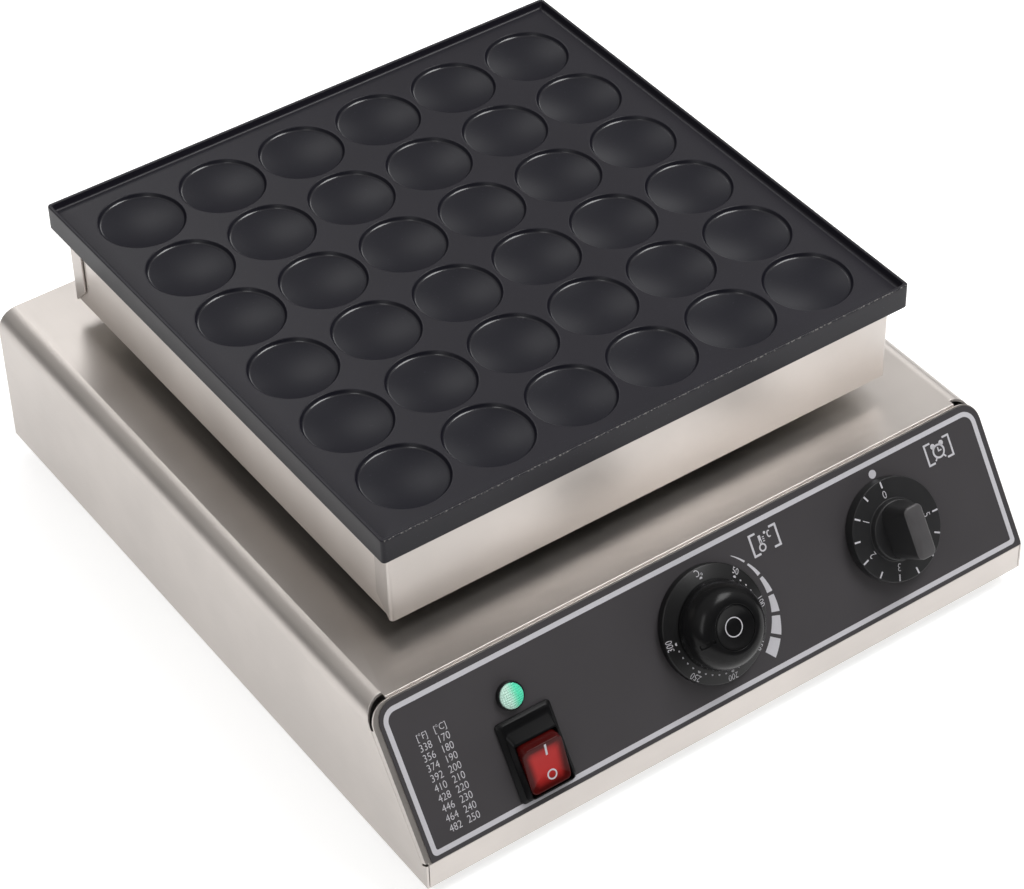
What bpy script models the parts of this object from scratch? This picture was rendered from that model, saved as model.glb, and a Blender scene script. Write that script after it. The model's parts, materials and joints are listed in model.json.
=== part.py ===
"""Countertop mini pancake griddle: a cast plate with round wells over a sheet steel heater housing,
carried on tie rods above a sheet steel control base with a slanted panel. Lengths are in metres, +Z is
up, the front faces -Y, and the origin is on the surface that the feet stand on, at the middle of the
whole object's width and depth.
"""

import math

import bmesh
import bpy
from mathutils import Matrix, Vector

# Fits that every piece shares
gap = 0.0003
overrun = 0.003
hole_slack = 0.0004
turning_gap = 0.0005

# Cast plate with its wells
wells_per_side = 6
well_pitch = 0.0475
well_diameter = 0.045
well_depth = 0.0050
well_wall_depth = 0.0019
well_wall_draft = 0.0013
well_floor_shares = (1.0, 0.62)
land_margin = 0.00925
plate_height = 0.0140
rim_height = 0.0039
rim_width = 0.0017
rim_draft = 0.0015
rim_corner = 0.0016
plate_corner = 0.0020
plate_edge = 0.0007
boss_diameter = 0.018
boss_height = 0.0083
stud_hole_depth = 0.0110

# Heaters under the plate, the bars that press them on, and the insulation
heater_diameter = 0.0080
heater_bend_radius = 0.0425
heater_leg_reach = 0.0750
heater_inner_leg = 0.0350
heater_end_reach = 0.0150
heater_end_bend = 0.0120
heater_end_drop = 0.0260
heater_arc_steps = 6
clamp_width = 0.0240
clamp_thickness = 0.0025
clamp_length = 0.2560
insulation_height = 0.0240
insulation_margin = 0.0080
window_width = 0.0620
window_depth = 0.1060

# Heater housing
plate_overhang = 0.0062
housing_height = 0.0451
housing_sheet = 0.0010
housing_bend = 0.0020
return_width = 0.0120
return_mitre = 0.0105
floor_flange = 0.0120

# Tie rods from the plate down to the base, with their standoffs and nuts
rod_diameter = 0.0060
rod_pitches_out = 2
collar_diameter = 0.0120
collar_height = 0.0050
standoff_height = 0.0119
standoff_diameter = 0.0120
nut_across_flats = 0.0100
nut_height = 0.0050
rod_end = 0.0030
sleeve_bore = 0.0320
sleeve_wall = 0.0020
sleeve_flange = 0.0050
sleeve_flange_height = 0.0015
sleeve_tail = 0.0040

# Control base
base_width = 0.3628
base_depth = 0.3950
base_height = 0.0827
base_clearance = 0.0100
base_sheet = 0.0012
base_bend = 0.0110
bend_steps = 6
apron_height = 0.0155
panel_run = 0.0444
plate_setback = 0.2211
lip_width = 0.0090
pan_flange = 0.0100
pan_corner = 0.0020
panel_flange = 0.0040
flange_start = 0.0115
flange_end = 0.0012

# Label that covers the slanted panel
label_gap = 0.00015
label_thickness = 0.00035
label_margin = 0.0038
label_shift = 0.0012
label_top = 0.0009
label_foot = 0.0004
label_corner = 0.0100

# Vent slots and the back panel
slot_length = 0.0360
slot_width = 0.0040
slot_pitch = 0.0120
slots_per_group = 6
slot_group_offset = 0.0850
slot_group_y = 0.0450
back_slot_height = 0.0460

# Feet
foot_diameter = 0.0240
foot_taper = 0.0015
foot_inset_x = 0.0320
foot_inset_front = 0.0400
foot_inset_back = 0.0340
foot_recess_depth = 0.0055
foot_recess_diameter = 0.0110
screw_diameter = 0.0040
screw_head_diameter = 0.0080
screw_head_height = 0.0026
screw_grip = 0.0050

# Cable gland at the back, left without its cord
gland_inset = 0.0664
gland_z = 0.0400
gland_thread = 0.0180
gland_bore = 0.0090
gland_flats = 0.0220
gland_hex_height = 0.0050
gland_cap_diameter = 0.0200
gland_cap_length = 0.0150
gland_cap_nose = 0.0130
gland_collar_length = 0.0080
gland_nut_flats = 0.0240
gland_nut_height = 0.0050
gland_tail = 0.0090
gland_wall_shares = (0.35, 0.8)

# Rocker switch
switch_inset = 0.0709
switch_down_share = 0.6903
switch_width = 0.0310
switch_length = 0.0410
switch_flange_edge = 0.0007
switch_flange_height = 0.0034
switch_flange_draft_side = 0.0020
switch_flange_draft_back = 0.0016
switch_flange_draft_front = 0.0009
switch_collar_height = 0.0068
collar_foot_half_width = 0.0131
collar_foot_back = 0.0143
collar_foot_front = 0.0194
collar_foot_corner = 0.0022
collar_top_half_width = 0.01225
collar_top_back = 0.0097
collar_top_front = 0.0189
collar_top_corner = 0.0018
collar_lip = 0.0006
switch_wall_x = 0.0014
switch_wall_y = 0.0013
switch_body_depth = 0.0260
switch_corner = 0.0020
well_in_switch = 0.0080
pivot_down = 0.0050
pivot_rise = 0.0022
rocker_width = 0.0224
rocker_half_length = 0.0117
rocker_crest = 0.0066
rocker_dip = 0.0010
rocker_root = 0.0045
rocker_side_gap = 0.0004
rocker_tilt_degrees = 10.6
rocker_arc_steps = 4
pin_diameter = 0.0024
pin_reach = 0.0008

# Pilot lamp
lamp_inset = 0.0684
lamp_down_share = 0.3154
lamp_bezel_diameter = 0.0142
lamp_bezel_rise = 0.0026
lamp_lens_diameter = 0.0124
lamp_lens_rise = 0.0022
lamp_seat_depth = 0.0012
lamp_body_diameter = 0.0100
lamp_body_depth = 0.0240
lamp_nut_flats = 0.0140
lamp_nut_height = 0.0040

# Thermostat with its fixed scale ring and turning knob
control_down_share = 0.5004
thermostat_x = -0.0011
ring_diameter = 0.0590
ring_edge_height = 0.0042
ring_cone_rise = 0.0026
ring_edge = 0.0006
ring_bore_slack = 0.0030
knob_foot_diameter = 0.0445
knob_foot_height = 0.0010
knob_height = 0.0155
knob_neck_diameter = 0.0240
knob_wall = 0.0020
knob_hub_diameter = 0.0120
knob_arc_steps = 5
cap_recess = 0.0034
cap_dish = 0.0018
cap_lip = 0.0003
cap_rim = 0.0008
cap_dish_shares = (0.75, 0.4)
groove_width = 0.0024
groove_depth = 0.0008
groove_outer = 0.0193
groove_steps = 3
pointer_degrees = 262.5
shaft_diameter = 0.0060
neck_diameter = 0.0100
neck_length = 0.0060
thermostat_width = 0.0440
thermostat_length = 0.0380
thermostat_depth = 0.0280
body_edge = 0.0020
shaft_socket = 0.0080

# Timer with its bar knob
timer_inset = 0.0710
timer_skirt_diameter = 0.0526
timer_skirt_height = 0.0062
timer_skirt_edge = 0.0006
timer_hub_diameter = 0.0304
timer_hub_height = 0.0034
timer_hub_cone = 0.0008
timer_bar_width = 0.0108
timer_bar_length = 0.0277
timer_bar_corner = 0.0033
timer_bar_height = 0.0167
timer_bar_edge = 0.0008
timer_bar_foot_width = 0.0172
timer_bar_foot_length = 0.0292
timer_bar_foot_corner = 0.0070
timer_width = 0.0500
timer_length = 0.0440
timer_depth = 0.0380

# Terminal block on the bottom plate
block_inset = 0.0914
block_from_back = 0.0589
block_length = 0.0560
block_width = 0.0220
block_height = 0.0170
block_step = 0.0060
block_ways = 4
block_wall = 0.0020
block_slot_depth = 0.0050

# Facets round the turned pieces
well_sides = 20
knob_sides = 32
small_sides = 16
rod_sides = 10
hole_sides = 16

# Heights, from the feet up
base_bottom = base_clearance
base_top = base_bottom + base_height
pan_bottom = base_bottom + base_sheet + gap
housing_bottom = base_top + standoff_height
plate_bottom = housing_bottom + housing_height
land_height = plate_bottom + plate_height - rim_height
rim_top = plate_bottom + plate_height
bend_height = base_bottom + apron_height

# The slanted panel
panel_drop = base_height - apron_height
panel_length = math.hypot(panel_run, panel_drop)
panel_lean = math.atan2(panel_run, panel_drop)
label_face = label_gap + label_thickness
control_down = control_down_share * panel_length
switch_down = switch_down_share * panel_length
lamp_down = lamp_down_share * panel_length

# Plan sizes
plate_side = (
    (wells_per_side - 1) * well_pitch + well_diameter + 2 * (land_margin + rim_draft + rim_width)
)
housing_side = plate_side - 2 * plate_overhang
rod_offset = rod_pitches_out * well_pitch
base_half = base_width / 2
label_width = base_width - label_margin
switch_x = switch_inset - base_half
lamp_x = lamp_inset - base_half
timer_x = base_half - timer_inset
gland_x = base_half - gland_inset
block_x = base_half - block_inset

# How far the timer's bar and the gland reach past the base
timer_skirt_foot = label_face + turning_gap
timer_bar_top = timer_skirt_foot + timer_skirt_height + timer_hub_height + timer_bar_height
timer_bar_foot_down = control_down + timer_bar_length / 2 - timer_bar_edge
front_reach = (
    timer_bar_foot_down * math.sin(panel_lean) + timer_bar_top * math.cos(panel_lean) - panel_run
)
back_reach = gap + gland_hex_height + gland_collar_length + gap + gland_cap_length
base_front = (front_reach - back_reach - base_depth) / 2
base_back = base_front + base_depth
plate_y = base_front + plate_setback
panel_top_y = base_front + panel_run
block_y = base_back - block_from_back


def clear_scene():
    """Removes the objects of the scene that Blender starts with."""
    for thing in list(bpy.data.objects):
        bpy.data.objects.remove(thing, do_unlink=True)


def material(name, colour, roughness, metallic):
    """A Principled material with one colour."""
    made = bpy.data.materials.new(name)
    made.use_nodes = True
    shader = made.node_tree.nodes["Principled BSDF"]
    shader.inputs["Base Color"].default_value = (*colour, 1.0)
    shader.inputs["Roughness"].default_value = roughness
    shader.inputs["Metallic"].default_value = metallic
    made.diffuse_color = (*colour, 1.0)
    return made


def finish(name, bm, look, parent=None, location=(0.0, 0.0, 0.0), smooth_degrees=35.0):
    """Makes an object of the bmesh, with its material, its place and smooth shading over shallow edges."""
    bmesh.ops.recalc_face_normals(bm, faces=bm.faces)
    mesh = bpy.data.meshes.new(name)
    bm.to_mesh(mesh)
    bm.free()
    mesh.materials.append(look)
    mesh.shade_smooth()
    mesh.set_sharp_from_angle(angle=math.radians(smooth_degrees))
    made = bpy.data.objects.new(name, mesh)
    bpy.context.scene.collection.objects.link(made)
    made.parent = parent
    made.location = location
    return made


def helper(name, bm, parent=None):
    """Makes a hidden object that only cuts or joins."""
    bmesh.ops.recalc_face_normals(bm, faces=bm.faces)
    mesh = bpy.data.meshes.new(name)
    bm.to_mesh(mesh)
    bm.free()
    made = bpy.data.objects.new(name, mesh)
    bpy.context.scene.collection.objects.link(made)
    made.parent = parent
    made.hide_render = True
    made.display_type = "WIRE"
    return made


def combine(target, other, operation="DIFFERENCE"):
    """Adds a Boolean modifier, which cuts the other solid out unless another operation is named."""
    modifier = target.modifiers.new(other.name, "BOOLEAN")
    modifier.operation = operation
    modifier.solver = "EXACT"
    modifier.object = other


def empty(name, location, tilt=0.0, parent=None):
    """An empty that carries pieces, tilted about the X axis."""
    made = bpy.data.objects.new(name, None)
    bpy.context.scene.collection.objects.link(made)
    made.parent = parent
    made.location = location
    made.rotation_euler = (tilt, 0.0, 0.0)
    return made


def ring_of(bm, radius, height, sides, centre=(0.0, 0.0)):
    """A ring of vertices, or one vertex where the radius is zero."""
    if radius == 0.0:
        return [bm.verts.new((centre[0], centre[1], height))]
    turn = math.tau / sides
    return [
        bm.verts.new(
            (
                centre[0] + radius * math.cos(turn * k),
                centre[1] + radius * math.sin(turn * k),
                height,
            )
        )
        for k in range(sides)
    ]


def bridge(bm, first, second):
    """Joins two rings of vertices with faces; either may be a single vertex."""
    sides = max(len(first), len(second))
    for k in range(sides):
        corners = [
            first[k % len(first)],
            first[(k + 1) % len(first)],
            second[(k + 1) % len(second)],
            second[k % len(second)],
        ]
        bm.faces.new(dict.fromkeys(corners))


def turn(bm, profile, sides, centre=(0.0, 0.0)):
    """Turns a profile of (radius, height) points about a vertical axis. A profile that starts and ends on
    the axis is closed there, and any other is closed from its last point to its first."""
    rings = [ring_of(bm, radius, height, sides, centre) for radius, height in profile]
    for first, second in zip(rings, rings[1:]):
        bridge(bm, first, second)
    if profile[0][0] != 0.0:
        bridge(bm, rings[-1], rings[0])
    return bm


def turned(profile, sides):
    return turn(bmesh.new(), profile, sides)


def prism(bm, outline, low, high, axis="Z"):
    """Extrudes a flat outline between two places along an axis. The outline's points are (x, y) for Z,
    (y, z) for X and (x, z) for Y."""

    def place(point, along):
        a, b = point
        return {"Z": (a, b, along), "X": (along, a, b), "Y": (a, along, b)}[axis]

    bottom = [bm.verts.new(place(point, low)) for point in outline]
    top = [bm.verts.new(place(point, high)) for point in outline]
    bm.faces.new(bottom)
    bm.faces.new(top)
    bridge(bm, bottom, top)
    return bm


def box(bm, low, high):
    """A box between two corners."""
    outline = [(low[0], low[1]), (high[0], low[1]), (high[0], high[1]), (low[0], high[1])]
    return prism(bm, outline, low[2], high[2])


def arc(centre, radius, start_degrees, end_degrees, steps):
    """Points along an arc in a plane."""
    angles = [
        math.radians(start_degrees + (end_degrees - start_degrees) * k / steps)
        for k in range(steps + 1)
    ]
    return [(centre[0] + radius * math.cos(a), centre[1] + radius * math.sin(a)) for a in angles]


def rounded_box_outline(half_x, half_y, radius, steps=3, centre=(0.0, 0.0)):
    """A rectangle with round corners, anticlockwise from the lower right corner."""
    points = []
    for side_x, side_y, start in ((1, -1, -90.0), (1, 1, 0.0), (-1, 1, 90.0), (-1, -1, 180.0)):
        middle = (
            centre[0] + side_x * (half_x - radius),
            centre[1] + side_y * (half_y - radius),
        )
        points += arc(middle, radius, start, start + 90.0, steps)
    return points


def loft(bm, sections, steps=3, centre=(0.0, 0.0)):
    """Joins rectangles with round corners and caps both ends. Each is (half x, half y, radius, height),
    and a fifth value shifts it in y."""
    rings = []
    for half_x, half_y, radius, height, *shift in sections:
        middle = (centre[0], centre[1] + sum(shift))
        outline = rounded_box_outline(half_x, half_y, radius, steps, middle)
        rings.append([bm.verts.new((x, y, height)) for x, y in outline])
    for first, second in zip(rings, rings[1:]):
        bridge(bm, first, second)
    bm.faces.new(rings[0])
    bm.faces.new(rings[-1])
    return bm


def hexagon(across_flats):
    radius = across_flats / math.sqrt(3.0)
    return [
        (radius * math.cos(math.radians(60 * k)), radius * math.sin(math.radians(60 * k)))
        for k in range(6)
    ]


def holes(places, diameter, low, high, sides=hole_sides):
    """Upright cylinders at places in plan, as one cutter mesh."""
    bm = bmesh.new()
    for centre in places:
        turn(bm, [(0.0, low), (diameter / 2, low), (diameter / 2, high), (0.0, high)], sides, centre)
    return bm


def tube_piece(name, points, diameter, look, bevel_resolution=1):
    """A round rod or tube along a path, as a curve with closed ends."""
    curve = bpy.data.curves.new(name, "CURVE")
    curve.dimensions = "3D"
    curve.bevel_depth = diameter / 2
    curve.bevel_resolution = bevel_resolution
    curve.use_fill_caps = True
    spline = curve.splines.new("POLY")
    spline.points.add(len(points) - 1)
    for point, place in zip(spline.points, points):
        point.co = (*place, 1.0)
    curve.materials.append(look)
    made = bpy.data.objects.new(name, curve)
    bpy.context.scene.collection.objects.link(made)
    return made


def rod_places():
    """The four tie rods, on lands where four wells meet."""
    return {
        f"{depth}_{side}": (x * rod_offset, plate_y + y * rod_offset)
        for depth, y in (("front", -1), ("rear", 1))
        for side, x in (("left", -1), ("right", 1))
    }


def foot_places():
    """The four feet, set in from the base's edges."""
    x = base_half - foot_inset_x
    return {
        "front_left": (-x, base_front + foot_inset_front),
        "front_right": (x, base_front + foot_inset_front),
        "rear_left": (-x, base_back - foot_inset_back),
        "rear_right": (x, base_back - foot_inset_back),
    }


def well_centres():
    """The wells' centres, row by row from the front."""
    first = -(wells_per_side - 1) * well_pitch / 2
    return [
        (first + column * well_pitch, plate_y + first + row * well_pitch)
        for row in range(wells_per_side)
        for column in range(wells_per_side)
    ]


def well_profile():
    """A well's section from the axis out: a shallow dished floor, a steep wall and a mouth."""
    floor_radius = well_diameter / 2 - well_wall_draft
    dish = well_depth - well_wall_depth
    points = [(0.0, land_height - well_depth)]
    for share in reversed(well_floor_shares):
        sag = dish * (1.0 - share**2)
        points.append((floor_radius * share, land_height - well_wall_depth - sag))
    mouth = well_diameter / 2
    points.append((mouth, land_height))
    points.append((mouth, land_height + rim_height))
    points.append((0.0, land_height + rim_height))
    return points


def make_griddle_plate(look):
    """The cast plate: a raised rim, the dished wells, and bosses below with blind holes for the rods."""
    half = plate_side / 2
    inner = half - rim_width - rim_draft
    sections = [
        (half - plate_edge, half - plate_edge, plate_corner, plate_bottom),
        (half, half, plate_corner, plate_bottom + plate_edge),
        (half, half, plate_corner, rim_top - plate_edge),
        (half - plate_edge, half - plate_edge, plate_corner - plate_edge, rim_top),
        (half - rim_width, half - rim_width, rim_corner, rim_top),
        (inner, inner, rim_corner, land_height),
    ]
    plate = finish("griddle_plate", loft(bmesh.new(), sections, centre=(0.0, plate_y)), look)
    rods = rod_places().values()
    boss_foot = plate_bottom - boss_height
    bosses = helper(
        "plate_bosses",
        holes(rods, boss_diameter, boss_foot, plate_bottom + plate_edge, small_sides),
    )
    combine(plate, bosses, "UNION")
    wells = bmesh.new()
    for centre in well_centres():
        turn(wells, well_profile(), well_sides, centre)
    combine(plate, helper("well_cutter", wells))
    stud_holes = holes(
        rods,
        rod_diameter + 2 * hole_slack,
        boss_foot - overrun,
        boss_foot + stud_hole_depth,
    )
    combine(plate, helper("stud_hole_cutter", stud_holes))


def heater_path(side):
    """One heater's centre line: a flat loop under half of the plate whose two ends turn down near the
    middle. The side is -1 for the front half and 1 for the rear half."""
    level = plate_bottom - gap - heater_diameter / 2
    middle = heater_inner_leg + heater_bend_radius
    half = [
        (heater_end_reach, heater_inner_leg, level - heater_end_bend - heater_end_drop),
    ]
    for x, drop in arc((heater_end_bend, 0.0), heater_end_bend, 180.0, 90.0, heater_arc_steps // 2):
        half.append((heater_end_reach + x, heater_inner_leg, level - heater_end_bend + drop))
    for x, y in arc(
        (heater_leg_reach, middle), heater_bend_radius, -90.0, 90.0, heater_arc_steps
    ):
        half.append((x, y, level))
    other = [(-x, y, z) for x, y, z in reversed(half)]
    return [(x, plate_y + side * y, z) for x, y, z in half + other]


def make_heaters(look):
    for name, side in (("heater_front", -1), ("heater_rear", 1)):
        tube_piece(name, heater_path(side), heater_diameter, look)


def make_clamp_bars(look):
    """Two flat bars across the heaters, held up by the collars of the tie rods."""
    top = plate_bottom - boss_height - gap
    for name, x in (("clamp_bar_left", -rod_offset), ("clamp_bar_right", rod_offset)):
        outline = rounded_box_outline(
            clamp_width / 2, clamp_length / 2, clamp_width / 4, centre=(x, plate_y)
        )
        bar = finish(name, prism(bmesh.new(), outline, top - clamp_thickness, top), look)
        places = [place for place in rod_places().values() if place[0] * x > 0]
        cutter = holes(
            places,
            rod_diameter + 2 * hole_slack,
            top - clamp_thickness - overrun,
            top + overrun,
        )
        combine(bar, helper(name + "_holes", cutter))


def make_tie_rods(look):
    """Rods screwed into the plate, each with a collar under its clamp bar, down through the base's top."""
    radius = rod_diameter / 2
    foot = base_top - base_sheet - gap - nut_height - rod_end
    collar_top = plate_bottom - boss_height - gap - clamp_thickness - gap
    collar_foot = collar_top - collar_height
    head = plate_bottom - boss_height + stud_hole_depth - gap
    profile = [
        (0.0, foot),
        (radius, foot),
        (radius, collar_foot),
        (collar_diameter / 2, collar_foot),
        (collar_diameter / 2, collar_top),
        (radius, collar_top),
        (radius, head),
        (0.0, head),
    ]
    for name, (x, y) in rod_places().items():
        finish("tie_rod_" + name, turned(profile, rod_sides), look, location=(x, y, 0.0))


def make_standoffs(look):
    """Tubes round the tie rods that hold the housing above the base."""
    inner = rod_diameter / 2 + hole_slack
    low = base_top + gap
    high = housing_bottom - gap
    profile = [
        (standoff_diameter / 2, low),
        (standoff_diameter / 2, high),
        (inner, high),
        (inner, low),
    ]
    for name, (x, y) in rod_places().items():
        finish("standoff_" + name, turned(profile, small_sides), look, location=(x, y, 0.0))


def nut(name, flats, bore, height, look, location, parent=None, turn_x=0.0):
    """A hexagon nut standing on its place."""
    made = finish(
        name, prism(bmesh.new(), hexagon(flats), 0.0, height), look, parent, location
    )
    made.rotation_euler = (turn_x, 0.0, 0.0)
    cutter = helper(
        name + "_bore", holes([(0.0, 0.0)], bore, -overrun, height + overrun), made
    )
    combine(made, cutter)
    return made


def make_tie_nuts(look):
    """Nuts on the tie rods, under the base's top sheet."""
    low = base_top - base_sheet - gap - nut_height
    for name, (x, y) in rod_places().items():
        nut(
            "tie_nut_" + name,
            nut_across_flats,
            rod_diameter + 2 * hole_slack,
            nut_height,
            look,
            (x, y, low),
        )


def make_insulation(look):
    """A fibre slab on the housing's floor, with a window in the middle for the heaters' ends."""
    half = housing_side / 2 - housing_sheet - insulation_margin
    low = housing_bottom + housing_sheet + gap
    high = low + insulation_height
    outline = rounded_box_outline(half, half, insulation_margin, centre=(0.0, plate_y))
    slab = finish("insulation", prism(bmesh.new(), outline, low, high), look)
    window = rounded_box_outline(
        window_width / 2, window_depth / 2, insulation_margin, centre=(0.0, plate_y)
    )
    combine(
        slab,
        helper("insulation_window", prism(bmesh.new(), window, low - overrun, high + overrun)),
    )
    rods = holes(
        rod_places().values(), rod_diameter + 2 * hole_slack, low - overrun, high + overrun
    )
    combine(slab, helper("insulation_rod_holes", rods))


def make_housing_wrap(name, side, look):
    """The front or rear sheet of the housing, bent round the corners, with its returns cut at a slant at
    their lower ends. The side is -1 for the front and 1 for the rear."""
    half = housing_side / 2
    face = half
    rear = half - return_width
    bend = housing_bend
    inner_bend = housing_bend - housing_sheet
    inner = half - housing_sheet
    right = [(half, rear)] + arc((half - bend, face - bend), bend, 0.0, 90.0, 3)
    right_back = arc((half - bend, face - bend), inner_bend, 90.0, 0.0, 3) + [(inner, rear)]
    outer = right + [(-x, y) for x, y in reversed(right)]
    back = [(-x, y) for x, y in reversed(right_back)] + right_back
    outline = [(x, plate_y + side * y) for x, y in outer + back]
    low = housing_bottom
    high = plate_bottom - gap
    sheet = finish(name, prism(bmesh.new(), outline, low, high), look)
    mitre = [
        (plate_y + side * (rear - overrun), low - overrun),
        (plate_y + side * (face - bend), low - overrun),
        (plate_y + side * (face - bend), low),
        (plate_y + side * rear, low + return_mitre),
        (plate_y + side * (rear - overrun), low + return_mitre),
    ]
    cutter = bmesh.new()
    prism(cutter, mitre, half - bend, half + overrun, "X")
    prism(cutter, mitre, -half - overrun, -half + bend, "X")
    combine(sheet, helper(name + "_mitres", cutter))


def make_housing_side(name, side, look):
    """A side sheet of the housing, just inside the returns of the front and rear sheets."""
    outer = housing_side / 2 - housing_sheet - gap
    depth = housing_side / 2 - housing_bend
    low = (min(side * outer, side * (outer - housing_sheet)), plate_y - depth, housing_bottom)
    high = (
        max(side * outer, side * (outer - housing_sheet)),
        plate_y + depth,
        plate_bottom - gap,
    )
    finish(name, box(bmesh.new(), low, high), look)


def pan(bm, half_x, half_y, corner, bottom, sheet, flange, centre):
    """A sheet folded up on four sides."""
    sections = [
        (half_x, half_y, corner, bottom),
        (half_x, half_y, corner, bottom + flange),
        (half_x - sheet, half_y - sheet, corner - sheet / 2, bottom + flange),
        (half_x - sheet, half_y - sheet, corner - sheet / 2, bottom + sheet),
    ]
    return loft(bm, sections, centre=centre)


def make_housing_floor(look):
    """The housing's floor pan, with holes for the tie rods and the wiring sleeve."""
    half_x = housing_side / 2 - 2 * (housing_sheet + gap)
    half_y = housing_side / 2 - housing_sheet - gap
    floor = finish(
        "housing_floor",
        pan(
            bmesh.new(),
            half_x,
            half_y,
            housing_bend,
            housing_bottom,
            housing_sheet,
            floor_flange,
            (0.0, plate_y),
        ),
        look,
    )
    low = housing_bottom - overrun
    high = housing_bottom + housing_sheet + overrun
    cutter = holes(rod_places().values(), rod_diameter + 2 * hole_slack, low, high)
    sleeve_hole = sleeve_bore + 2 * (sleeve_wall + gap)
    turn(
        cutter,
        [(0.0, low), (sleeve_hole / 2, low), (sleeve_hole / 2, high), (0.0, high)],
        knob_sides,
        (0.0, plate_y),
    )
    combine(floor, helper("housing_floor_holes", cutter))


def make_wiring_sleeve(look):
    """A flanged sleeve that carries the heaters' wires from the housing down into the base."""
    inner = sleeve_bore / 2
    outer = inner + sleeve_wall
    flange = outer + sleeve_flange
    low = base_top - base_sheet - sleeve_tail
    seat = base_top + gap
    high = housing_bottom + housing_sheet + sleeve_tail
    profile = [
        (outer, low),
        (outer, seat),
        (flange, seat),
        (flange, seat + sleeve_flange_height),
        (outer, seat + sleeve_flange_height),
        (outer, high),
        (inner, high),
        (inner, low),
    ]
    finish("wiring_sleeve", turned(profile, knob_sides // 2), look, location=(0.0, plate_y, 0.0))


def shell_outline():
    """The base shell's section across the width: top, round bends, sides and inward lips below."""
    half = base_half
    inner = half - base_sheet
    bend_centre = (half - base_bend, base_top - base_bend)
    outside = [(half - lip_width, base_bottom), (half, base_bottom)]
    outside += arc(bend_centre, base_bend, 0.0, 90.0, bend_steps)
    inside = arc(bend_centre, base_bend - base_sheet, 90.0, 0.0, bend_steps)
    inside += [(inner, base_bottom + base_sheet), (half - lip_width, base_bottom + base_sheet)]
    left_outside = [(-x, z) for x, z in reversed(outside)]
    left_inside = [(-x, z) for x, z in reversed(inside)]
    return outside + left_outside + left_inside + inside


def panel_section_point(down, out):
    """A point of the slanted panel's section, from its place down the slope and out from the face."""
    return (
        panel_top_y - down * math.sin(panel_lean) - out * math.cos(panel_lean),
        base_top - down * math.cos(panel_lean) + out * math.sin(panel_lean),
    )


def front_of_shell(recess, foot):
    """The section of what is cut from the shell's front: a slanted edge set back by a recess, down to a
    foot that is given as its place down the slope."""
    top = panel_section_point(-overrun - recess, -recess)
    shift = panel_section_point(foot, -recess)
    start = panel_section_point(foot, 0.0)
    forward = base_front - overrun
    return [
        (forward, start[1]),
        start,
        shift,
        top,
        (forward, top[1]),
    ]


def make_base_shell(look):
    """The base's top and sides in one bent sheet, cut at the front for the slanted panel."""
    shell = finish(
        "base_shell", prism(bmesh.new(), shell_outline(), base_front, base_back, "Y"), look
    )
    middle = base_half - base_bend
    front = bmesh.new()
    top_cut = front_of_shell(base_sheet + gap, base_bend)
    prism(front, top_cut, -middle - overrun, middle + overrun, "X")
    combine(shell, helper("shell_front_cutter", front))
    sides = bmesh.new()
    side_cut = front_of_shell(panel_flange + gap, panel_length)
    prism(sides, side_cut, middle - gap, base_half + overrun, "X")
    prism(sides, side_cut, -base_half - overrun, gap - middle, "X")
    combine(shell, helper("shell_side_cutter", sides))
    lips = bmesh.new()
    lip_end = base_front + base_sheet + gap
    for side in (-1, 1):
        near = side * (base_half - lip_width - overrun)
        far = side * (base_half - base_sheet)
        box(
            lips,
            (min(near, far), base_front - overrun, base_bottom - overrun),
            (max(near, far), lip_end, base_bottom + base_sheet + gap),
        )
    combine(shell, helper("shell_lip_cutter", lips))
    low = base_top - base_sheet - overrun
    high = base_top + overrun
    top_holes = holes(rod_places().values(), rod_diameter + 2 * hole_slack, low, high)
    sleeve_hole = sleeve_bore + 2 * (sleeve_wall + gap)
    turn(
        top_holes,
        [(0.0, low), (sleeve_hole / 2, low), (sleeve_hole / 2, high), (0.0, high)],
        knob_sides,
        (0.0, plate_y),
    )
    combine(shell, helper("shell_top_holes", top_holes))


def panel_cutouts(depth, growth):
    """Cutters for the switch, the lamp and the two shafts, in the panel's own frame."""
    bm = bmesh.new()
    body = rounded_box_outline(
        switch_body_half_x() + gap + growth,
        switch_body_half_y() + gap + growth,
        switch_corner / 2,
        centre=(switch_x, -switch_down - pivot_down),
    )
    prism(bm, body, -depth, depth)
    round_holes = (
        (lamp_x, lamp_down, lamp_body_diameter),
        (thermostat_x, control_down, neck_diameter),
        (timer_x, control_down, neck_diameter),
    )
    for x, down, diameter in round_holes:
        radius = diameter / 2 + hole_slack + growth
        turn(
            bm,
            [(0.0, -depth), (radius, -depth), (radius, depth), (0.0, depth)],
            knob_sides // 2,
            (x, -down),
        )
    return bm


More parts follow.
